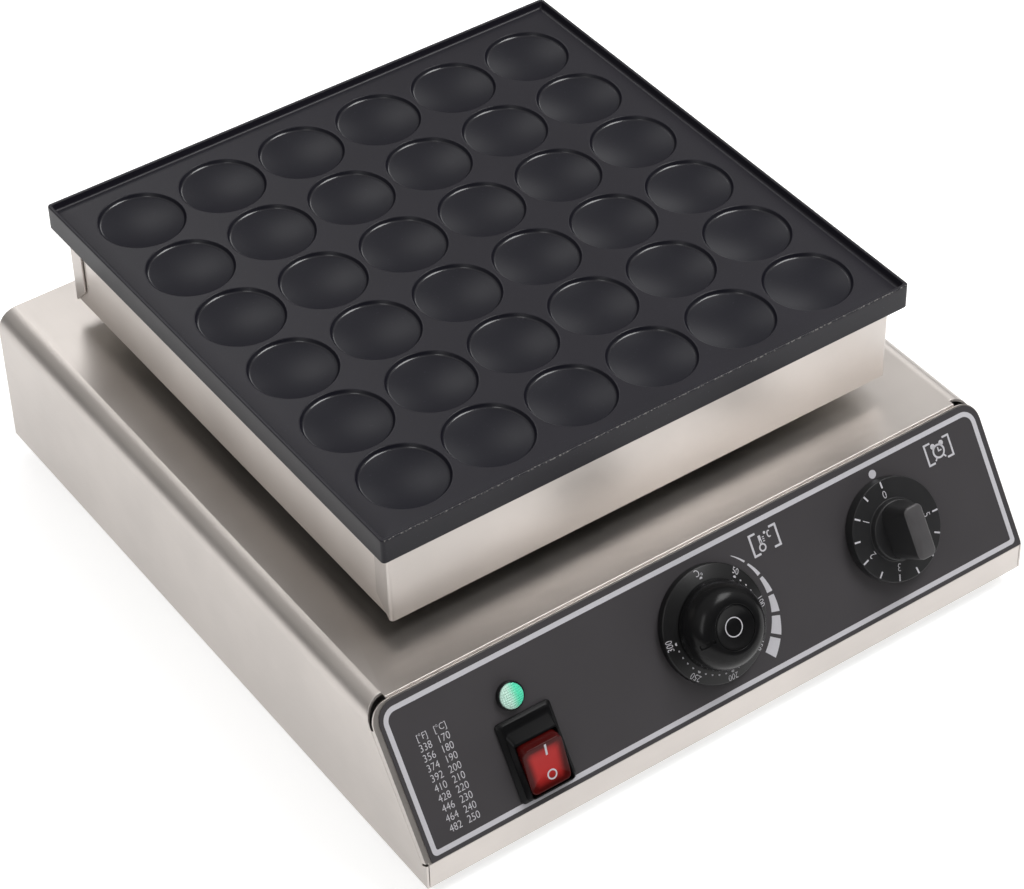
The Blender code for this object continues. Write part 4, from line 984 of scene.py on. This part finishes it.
class GRIDDLE_OT_thermostat(bpy.types.Operator):
    """Make the thermostat's ring with its scale, the domed knob and the knob's dished cap"""

    bl_idname = "griddle.thermostat"
    bl_label = "Thermostat"

    outer = 29.5
    edge_top = 5.0
    ring_top = 7.6
    turn_per_degree = 0.906
    knob_radius = 22.25
    knob_foot = 8.1
    knob_top = 23.6
    neck = 12.0
    cap_radius = 10.9
    cap_seat = 20.2
    cap_top = 23.3
    hollow_radius = cap_radius - 0.7
    dish = 1.8
    slope = (ring_top - edge_top) / (outer - knob_radius)

    def execute(self, context):
        self.spot = PanelSpot(context.scene, "thermostat_turn")
        self.ring()
        self.scale()
        self.knob()
        self.cap()
        return {"FINISHED"}

    def face(self, radius):
        """Height of the ring's coned face at a radius, with the print's clearance."""
        return self.ring_top - (radius - self.knob_radius) * self.slope + PRINT_GAP

    def hollow(self, radius):
        """Height of the cap's face, which sinks towards its middle with one minus the square of the
        radius's share."""
        return self.cap_top - self.dish * (1.0 - (radius / self.hollow_radius) ** 2)

    def ring(self):
        bore = 8.0
        corners = (
            (bore, SEAT, 0.0),
            (self.outer, SEAT, 0.3),
            (self.outer, self.edge_top, 0.8),
            (self.knob_radius, self.ring_top, 0.4),
            (bore, self.ring_top, 0.0),
            (bore, SEAT, 0.0),
        )
        surface(
            "Scale_ring",
            [self.spot.put(turned(rounded(corners), 160))],
            "Satin black resin",
            "cooker",
            ("scale_ring",),
        )

    def scale(self):
        """A dot for the unit's sign and at every tenth degree from 50 to 300, and the figures."""
        radius = 24.2
        shapes = []
        for degrees in (0, *range(50, 301, 10)):
            place = clock(degrees * self.turn_per_degree) * radius
            size = 0.5 if degrees % 50 else 0.8
            shapes.append(self.spot.put(flat_shape(circle(size, 20, place)), z=self.face(radius)))
        marks("Scale_dots", shapes, "cooker")
        radius = 27.2
        height = self.face(radius)
        tilt = math.atan(self.slope)
        size = 4.9
        items = []
        for degrees in range(50, 301, 50):
            turn = degrees * self.turn_per_degree
            x, y = clock(turn) * radius
            place = self.spot.matrix(x, y, height, -math.radians(turn), -tilt)
            items.append((str(degrees), size, place))
        items.append(("°C", size, self.spot.matrix(0.0, radius, height, math.pi, tilt)))
        figures("Scale_figures", items, "cooker", 0.80)

    def knob(self):
        """The dome's side is a quarter of an ellipse from the shoulder up to the cap's seat."""
        shoulder = self.knob_foot + 1.0
        size = (self.knob_radius - self.neck, self.knob_top - shoulder)
        bulge = circle(1.0, 40, arc=(0.0, math.pi / 2)) * size + (self.neck, shoulder)
        bore = 3.2
        wall = self.cap_radius + 0.2
        inner = (
            (*bulge[-1], 0.0),
            (wall, self.knob_top, 0.35),
            (wall, self.cap_seat, 0.1),
            (bore, self.cap_seat, 0.0),
        )
        under = [
            (bore, self.knob_foot),
            (self.knob_radius - 0.4, self.knob_foot),
            (self.knob_radius, self.knob_foot + 0.4),
        ]
        knob = turned(np.concatenate([under, bulge, rounded(inner), under[:1]]), 480)
        pointer = clock(262.5)
        knob = lower_along(knob, pointer * 12.4, pointer * 19.3, width=2.2, depth=1.0)
        surface(
            "Thermostat_dome",
            [self.spot.put(knob)],
            "Glossy black resin",
            "thermostat_dial",
            ("thermostat_knob",),
            MOULDED,
        )

    def cap(self):
        radius = np.linspace(0.0, self.hollow_radius, 16)
        bowl = np.column_stack([radius, self.hollow(radius)])
        foot = self.cap_seat + 0.1
        edge = (
            (*bowl[-1], 0.0),
            (self.cap_radius, self.cap_top + 0.05, 0.4),
            (self.cap_radius, foot, 0.2),
            (0.0, foot, 0.0),
        )
        surface(
            "Knob_cap_disc",
            [self.spot.put(turned(np.concatenate([bowl[:-1], rounded(edge)]), 128))],
            "Glossy black resin",
            "thermostat_dial",
            ("knob_cap",),
        )
        outer, inner, rise = 4.9, 4.4, 0.12
        ring = band_shape(circle(outer, 64), circle(inner, 64), rise)
        ring = self.spot.put(ring, z=self.hollow((outer + inner) / 2))
        marks("Knob_cap_ring", [ring], "thermostat_dial")


class GRIDDLE_OT_timer(bpy.types.Operator):
    """Make the timer's knob with its skirt, hub, bar and scale"""

    bl_idname = "griddle.timer"
    bl_label = "Timer"

    foot = 1.0
    skirt = 26.3
    skirt_top = 7.2
    wall = 2.0
    hub = 15.2
    hub_top = 10.6
    bar_foot = 9.8
    bar_side_top = 26.4

    def execute(self, context):
        self.spot = PanelSpot(context.scene, "timer_turn")
        self.dial()
        self.bar()
        self.scale()
        return {"FINISHED"}

    def dial(self):
        ceiling = self.skirt_top - self.wall
        inside = self.skirt - self.wall
        corners = (
            (0.0, ceiling, 0.0),
            (inside, ceiling, 0.3),
            (inside, self.foot, 0.2),
            (self.skirt, self.foot, 0.3),
            (self.skirt, self.skirt_top, 0.6),
            (self.hub + 0.5, self.skirt_top, 0.5),
            (self.hub, self.hub_top, 0.9),
            (0.0, self.hub_top, 0.0),
        )
        surface(
            "Timer_dial_body",
            [self.spot.put(turned(rounded(corners), 144))],
            "Matt black plastic",
            "timer_dial",
            ("timer_knob",),
        )

    def bar(self):
        """The finger bar: its sides run straight from a wide foot to a slim top."""
        rise = np.linspace(0.0, 1.0, 5)
        height = self.bar_foot + (self.bar_side_top - self.bar_foot) * rise
        sides = rounded_loops(8.6 - 3.2 * rise, 14.6 - 0.75 * rise, 7.0 - 3.7 * rise, height, 12)
        inset = np.array([0.0, 0.25, 0.55, 1.05])
        height = self.bar_side_top + np.array([0.0, 0.45, 0.70, 0.9])
        head = rounded_loops(5.38 - inset, 13.83 - inset, 3.3 - inset, height, 12)
        for name, loops, look in (
            ("Timer_bar_sides", sides, "Matt black plastic"),
            ("Timer_bar_top", head, "Worn bar top"),
        ):
            loops = self.spot.put(capped(loops))
            surface(name, [loops], look, "timer_dial", sharp=MOULDED)

    def scale(self):
        """A tick at each half unit, counter-clockwise from the top, and a figure at each unit."""
        first, step = 1.5, 26.75
        ticks = []
        items = []
        for half in range(11):
            turn = -(first + half * step)
            ray = clock(turn)
            tick = bar_shape(ray * 24.0, ray, 3.4, 0.85)
            ticks.append(self.spot.put(tick, z=self.skirt_top + 0.01))
            if half % 2 == 0:
                x, y = ray * 18.6
                place = self.spot.matrix(x, y, self.skirt_top + PRINT_GAP, -math.radians(turn))
                items.append((str(half // 2), 5.8, place))
        marks("Timer_ticks", ticks, "timer_dial")
        figures("Timer_figures", items, "timer_dial", 0.85)


class GRIDDLE_OT_switch(bpy.types.Operator):
    """Make the rocker switch: its raised frame, the clear red rocker and the two signs on it"""

    bl_idname = "griddle.switch"
    bl_label = "Rocker switch"

    half_x = 11.2
    half_y = 11.7
    corner = 3.0
    crest = 6.6
    dip = 1.0
    root = -4.5
    edge = 0.6
    tilt = math.radians(10.6)

    def execute(self, context):
        spot = PanelSpot(context.scene, "power_switch")
        cos, sin = math.cos(self.tilt), math.sin(self.tilt)
        self.axis = spot.pivot
        turn = np.array([[1.0, 0.0, 0.0], [0.0, cos, sin], [0.0, -sin, cos]])
        self.basis = turn @ (spot.right, spot.up, spot.out)
        softened("switch_body", "Switch black", 0.35 * MM)
        self.rocker()
        self.signs()
        return {"FINISHED"}

    def put(self, points):
        """Points of the rocker's own frame, whose origin is its axis."""
        return placed(points, self.axis, *self.basis)

    def top(self, y):
        """The hollow top: it sinks by the dip times one minus the square of the length's share."""
        return self.crest - self.dip * (1.0 - (y / self.half_y) ** 2)

    def rocker(self):
        """Loops up the side, over the edge and across the top. The ends lie on a circle round the
        axis: y grows as the square root of its radius squared less the height squared."""
        side, bends, across = 8, 5, 12
        edge = self.edge
        bend = np.linspace(0.0, math.pi / 2, bends)
        rise = np.append(np.arange(side) / side, np.ones(bends + across))
        drop = np.concatenate([np.full(side, edge), edge * (1.0 - np.sin(bend)), np.zeros(across)])
        inset = np.concatenate([np.zeros(side), edge * (1.0 - np.cos(bend)), np.full(across, edge)])
        share = np.append(np.ones(side + bends), np.linspace(0.94, 0.06, across))
        half_x, half_y, corner = (full - inset for full in (self.half_x, self.half_y, self.corner))
        loops = rounded_loops(half_x, half_y, corner, 0.0, 10)
        loops[..., :2] *= share[:, None, None]
        y = loops[..., 1]
        rise = rise[:, None]
        height = self.root + (self.top(y) - edge - self.root) * rise
        height += (edge - drop)[:, None] * (rise == 1.0)
        reach = math.hypot(self.half_y, self.crest)
        belly = np.sqrt(reach**2 - np.minimum(np.abs(height), self.crest) ** 2) / self.half_y
        loops[..., 1] = np.where(rise < 1.0, y * belly, y)
        loops[..., 2] = height
        piece = surface(
            "Rocker_lens",
            [self.put(capped(loops))],
            "Clear red",
            "power_rocker",
            ("switch_rocker",),
            MOULDED,
        )

        def deep_share(points):
            """Painted shade: grows towards both ends, the long edges and down the sides, most in the band along
            the raised end.
            """
            x, y, z = self.basis @ (points - self.axis).T / MM
            ends = np.clip((np.abs(y - 1.0) - 3.5) / 8.0, 0.0, 1.0) * 0.80
            edges = np.clip((np.abs(x) - 6.0) / 5.0, 0.0, 1.0) * 0.60
            band = np.clip((y - 7.2) / 2.4, 0.0, 1.0) * 0.85
            side = self.top(y) - 1.2 - z
            return np.maximum(np.maximum(ends + edges, band), side)

        mark_points(piece, "painted_shading", deep_share)

    def signs(self):
        """Two signs bent onto the hollow top."""
        middle = (1.5, -5.6)
        outer, inner = (circle(1.0, 40) * size + middle for size in ((2.7, 2.6), (1.95, 1.85)))
        signs = []
        for sign in (bar_shape((1.5, 7.67), (0.0, 1.0), 5.8, 1.1), band_shape(outer, inner)):
            sign[..., 2] += self.top(sign[..., 1]) + PRINT_GAP
            signs.append(self.put(sign))
        marks("Rocker_signs", signs, "power_rocker")


class GRIDDLE_OT_lamp(bpy.types.Operator):
    """Make the pilot lamp's bezel and its faceted lens"""

    bl_idname = "griddle.lamp"
    bl_label = "Pilot lamp"

    x, y = -113.0, -25.4
    outer = 7.1
    radius = 6.2
    rise = SEAT + 2.6

    def execute(self, context):
        top = PanelSpot(context.scene)
        stem, tail = 5.0, -24.0
        seat = self.rise - 1.2
        mouth = self.radius + 0.3
        corners = (
            (0.0, tail, 0.0),
            (stem, tail, 0.5),
            (stem, SEAT, 0.0),
            (self.outer, SEAT, 0.2),
            (self.outer, self.rise, 0.5),
            (mouth, self.rise, 0.2),
            (mouth, seat, 0.1),
            (0.0, seat, 0.0),
        )
        surface(
            "Lamp_bezel",
            [top.put(turned(rounded(corners), 72), self.x, self.y)],
            "Satin black resin",
            "cooker",
            ("lamp_body",),
        )
        dome = surface(
            "Lamp_dome",
            [top.put(self.lens(), self.x, self.y)],
            "Clear green",
            "cooker",
            ("lamp_lens",),
            sharp=28.0,
        )
        # Painted highlight: the lens is whiter at its left, running to its own green over 6 mm.
        mark_points(dome, "painted_shading", lambda points: (points[:, 0] / MM - self.x + 2.5) / 6.0)
        return {"FINISHED"}

    def lens(self):
        """A dome whose height follows the root of one minus the square of the radius's share, cut
        into small pyramids by the distance of x and y from the middles of a square grid."""
        radius = np.linspace(self.radius, 0.0, 44)
        dome = np.sqrt(np.clip(1.0 - (radius / self.radius) ** 2, 0.0, 1.0))
        foot = self.rise - 0.9
        profile = [(0.0, foot), (self.radius, foot), *zip(radius, self.rise + 1.96 * dome)]
        grid = turned(profile, 168)
        pitch, depth = 1.15, 0.34
        cells = np.abs(((grid[..., :2] / pitch) % 1.0) - 0.5).sum(axis=-1) * 2.0
        fade = np.clip((self.radius - np.hypot(grid[..., 0], grid[..., 1])) / 0.8, 0.0, 1.0)
        grid[..., 2] -= depth * cells * fade * (grid[..., 2] > self.rise + 0.05)
        return grid


class GRIDDLE_OT_fittings(bpy.types.Operator):
    """Make the feet, the standoffs and the cable gland as smooth turned pieces"""

    bl_idname = "griddle.fittings"
    bl_label = "Feet and fittings"

    def execute(self, context):
        for corner in ("front_left", "front_right", "rear_left", "rear_right"):
            self.foot("foot_" + corner)
            self.standoff("standoff_" + corner)
        self.gland_cap()
        return {"FINISHED"}

    def turn(self, node, corners, look, slot):
        """Turns a profile, whose heights are over the ground, about the upright axis of a packed
        node and stands for it."""
        middle, _low, _high = node_place(node)
        grid = placed(turned(rounded(corners), 48), (middle.x, middle.y, 0.0))
        surface(node + "_turned", [grid], look, "cooker", (node,))

    def foot(self, node):
        _middle, low, high = node_place(node)
        radius = (high.x - low.x) / 2 / MM
        top = high.z / MM
        hole, recess, recess_top = 2.4, 5.5, 5.5
        corners = (
            (recess, 0.0, 0.0),
            (radius - 1.5, 0.0, 1.0),
            (radius, top, 0.5),
            (hole, top, 0.0),
            (hole, recess_top, 0.0),
            (recess, recess_top, 0.2),
            (recess, 0.0, 0.0),
        )
        self.turn(node, corners, "Black rubber", "rubber")

    def standoff(self, node):
        _middle, low, high = node_place(node)
        radius = (high.x - low.x) / 2 / MM
        bottom, top = low.z / MM, high.z / MM
        bore = 3.4
        corners = (
            (bore, bottom, 0.0),
            (radius, bottom, 0.3),
            (radius, top, 0.3),
            (bore, top, 0.0),
            (bore, bottom, 0.0),
        )
        self.turn(node, corners, "Zinc plating", "zinc_steel")

    def gland_cap(self):
        """The cap, turned about its axis from front to back, with twelve grooves round its grip."""
        middle, low, high = node_place("gland_cap")
        size = (high.y - low.y) / MM
        radius = (high.x - low.x) / 2 / MM
        bore = 4.5
        corners = (
            (bore, 0.0, 0.0),
            (radius, 0.0, 0.6),
            (radius, size * 0.4, 2.0),
            (radius * 0.87, size * 0.85, 2.0),
            (radius * 0.65, size, 0.8),
            (bore, size, 0.4),
            (bore, 0.0, 0.0),
        )
        sides, grooves, depth = 144, 12, 0.025
        grid = turned(rounded(corners), sides)
        share = grid[..., 2] / size
        ends = np.clip((share - 0.02) * 30.0, 0.0, 1.0) * np.clip((0.42 - share) * 30.0, 0.0, 1.0)
        outer = np.hypot(grid[..., 0], grid[..., 1]) > radius * 0.95
        groove = np.cos(np.arange(sides) * math.tau / sides * grooves) > 0.55
        grid[..., :2] *= (1.0 - depth * groove * ends * outer)[..., None]
        origin = (middle.x, low.y, middle.z)
        surface(
            "Gland_cap_grip",
            [placed(grid, origin, up=(0, 0, -1), out=(0, 1, 0))],
            "Matt black plastic",
            "cooker",
            ("gland_cap",),
        )


# The stage


class GRIDDLE_OT_stage(bpy.types.Operator):
    """Make the floor, the sky, the soft lights and the camera"""

    bl_idname = "griddle.stage"
    bl_label = "Stage"

    def execute(self, context):
        look = context.scene.griddle_stage_look
        self.floor(look.floor)
        self.sky(context.scene, look.sky)
        self.lights(look.key_power)
        self.camera(context.scene)
        context.scene.view_settings.view_transform = "Standard"
        return {"FINISHED"}

    def floor(self, base):
        """A floor just under the feet, which glows towards the camera and what mirrors it."""
        half, height = 6.0, -0.0002
        plan = ((-half, -half), (half, -half), (half, half), (-half, half))
        corners = [(x, y, height) for x, y in plan]
        mesh = bpy.data.meshes.new("Floor")
        mesh.from_pydata(corners, [], [(0, 1, 2, 3)])
        paint = Look("Floor paint", base, 0.9)
        paint.tone(paint.noise(0.8, detail=1.0), base, 0.99, 1.0)
        seen, mirrored = (
            paint.node("ShaderNodeLightPath", output=ray)
            for ray in ("Is Camera Ray", "Is Glossy Ray")
        )
        glow = seen * 0.60 + mirrored * 0.48
        paint.constant("Emission Strength", 1.0)
        paint.drive("Emission Color", paint.blend(glow, (0.0, 0.0, 0.0), (1.0, 1.0, 1.0)))
        mesh.materials.append(paint.material)
        add_object("Floor", mesh)

    def sky(self, scene, strength):
        """A sky that brightens with the direction's height and dims in front, seen by the camera as
        plain white."""
        world = scene.world or bpy.data.worlds.new("Sky")
        scene.world = world
        world.use_nodes = True
        nodes = Nodes(world.node_tree)
        nodes.tree.nodes.clear()
        where = nodes.node("ShaderNodeTexCoord", output="Generated")
        y, z = (
            nodes.node("ShaderNodeSeparateXYZ", inputs={0: where}, output=axis) for axis in "YZ"
        )
        height = nodes.ramp(z, 0.0, 0.8, strength * 0.25, strength)
        front = nodes.ramp(y, -0.90, -0.10, 0.30)
        seen, passed = (
            nodes.node("ShaderNodeLightPath", output=ray)
            for ray in ("Is Camera Ray", "Is Transmission Ray")
        )
        warm = {"Color": (1.0, 0.985, 0.965, 1.0), "Strength": height * front}
        plain = {"Color": (1.0, 1.0, 1.0, 1.0)}
        warm, plain = (nodes.node("ShaderNodeBackground", inputs=each) for each in (warm, plain))
        either = seen.maths("MAXIMUM", seen, passed)
        shown = nodes.node("ShaderNodeMixShader", inputs={0: either, 1: warm, 2: plain})
        nodes.node("ShaderNodeOutputWorld", inputs={"Surface": shown})

    def lights(self, key_power):
        """Soft lights round the object, each with its share of the main one's power."""
        target = Vector((0.0, 0.0, 0.08))
        for name, place, size, share in (
            ("Overhead", (0.80, -0.50, 1.75), (1.0, 0.8), 1.0),
            ("Side", (-1.4, -0.9, 1.4), (0.5, 1.4), 0.30),
            ("Back left", (0.30, 1.55, 1.80), (0.8, 0.8), 0.28),
            ("Back right", (1.9, 1.4, 1.00), (0.9, 1.1), 0.22),
            ("Fill", (1.7, -0.9, 0.9), (1.4, 1.4), 0.08),
        ):
            light = bpy.data.lights.new(name, "AREA")
            light.shape = "RECTANGLE"
            light.size, light.size_y = size
            light.energy = key_power * share
            lamp = add_object(name, light)
            lamp.location = place
            direction = target - lamp.location
            lamp.rotation_euler = direction.to_track_quat("-Z", "Y").to_euler()

    def camera(self, scene):
        """The camera found from the plate's grid of wells. Its turn is an axis times an angle, and
        its place is measured from the middle of the plate's land."""
        turn = Vector((2.2063, -0.7101, 0.2898))
        offset = Vector((-0.7018, -1.0702, 1.0138))
        focal_length = 115.45
        rows = Matrix.Rotation(turn.length, 3, turn.normalized())
        basis = Matrix((rows[0], -Vector(rows[1]), -Vector(rows[2]))).transposed().to_4x4()
        middle, _low, high = node_place("griddle_plate")
        land = high.z - scene.griddle_plate_look.rim_height
        lens = bpy.data.cameras.new("Camera")
        lens.sensor_fit = "HORIZONTAL"
        lens.sensor_width = 36.0
        lens.lens = focal_length
        scene.camera = add_object("Camera", lens)
        place = offset + Vector((0.0, middle.y, land))
        scene.camera.matrix_world = Matrix.Translation(place) @ basis


class GRIDDLE_PT_sidebar(bpy.types.Panel):
    """The sidebar's list of sizes, colours and pieces"""

    bl_label = "Mini pancake griddle"
    bl_idname = "GRIDDLE_PT_sidebar"
    bl_space_type = "VIEW_3D"
    bl_region_type = "UI"
    bl_category = "Griddle"

    def draw(self, context):
        for name, group in SETTINGS:
            box = self.layout.box()
            box.label(text=group.__doc__)
            for key in group.__annotations__:
                box.prop(getattr(context.scene, name), key)
        for operator in OPERATORS:
            self.layout.operator(operator.bl_idname)


OPERATORS = (
    GRIDDLE_OT_materials,
    GRIDDLE_OT_plate,
    GRIDDLE_OT_sheets,
    GRIDDLE_OT_label,
    GRIDDLE_OT_thermostat,
    GRIDDLE_OT_timer,
    GRIDDLE_OT_switch,
    GRIDDLE_OT_lamp,
    GRIDDLE_OT_fittings,
    GRIDDLE_OT_stage,
)


def register():
    for name, group in SETTINGS:
        bpy.utils.register_class(group)
        setattr(bpy.types.Scene, name, PointerProperty(type=group))
    for operator in OPERATORS:
        bpy.utils.register_class(operator)
    bpy.utils.register_class(GRIDDLE_PT_sidebar)


def unregister():
    bpy.utils.unregister_class(GRIDDLE_PT_sidebar)
    for operator in reversed(OPERATORS):
        bpy.utils.unregister_class(operator)
    for name, group in reversed(SETTINGS):
        delattr(bpy.types.Scene, name)
        bpy.utils.unregister_class(group)


def main():
    """Builds everything in order."""
    register()
    bpy.ops.griddle.materials()
    bpy.ops.griddle.plate()
    bpy.ops.griddle.sheets()
    bpy.ops.griddle.label()
    bpy.ops.griddle.thermostat()
    bpy.ops.griddle.timer()
    bpy.ops.griddle.switch()
    bpy.ops.griddle.lamp()
    bpy.ops.griddle.fittings()
    bpy.ops.griddle.stage()


if __name__ == "__main__":
    main()
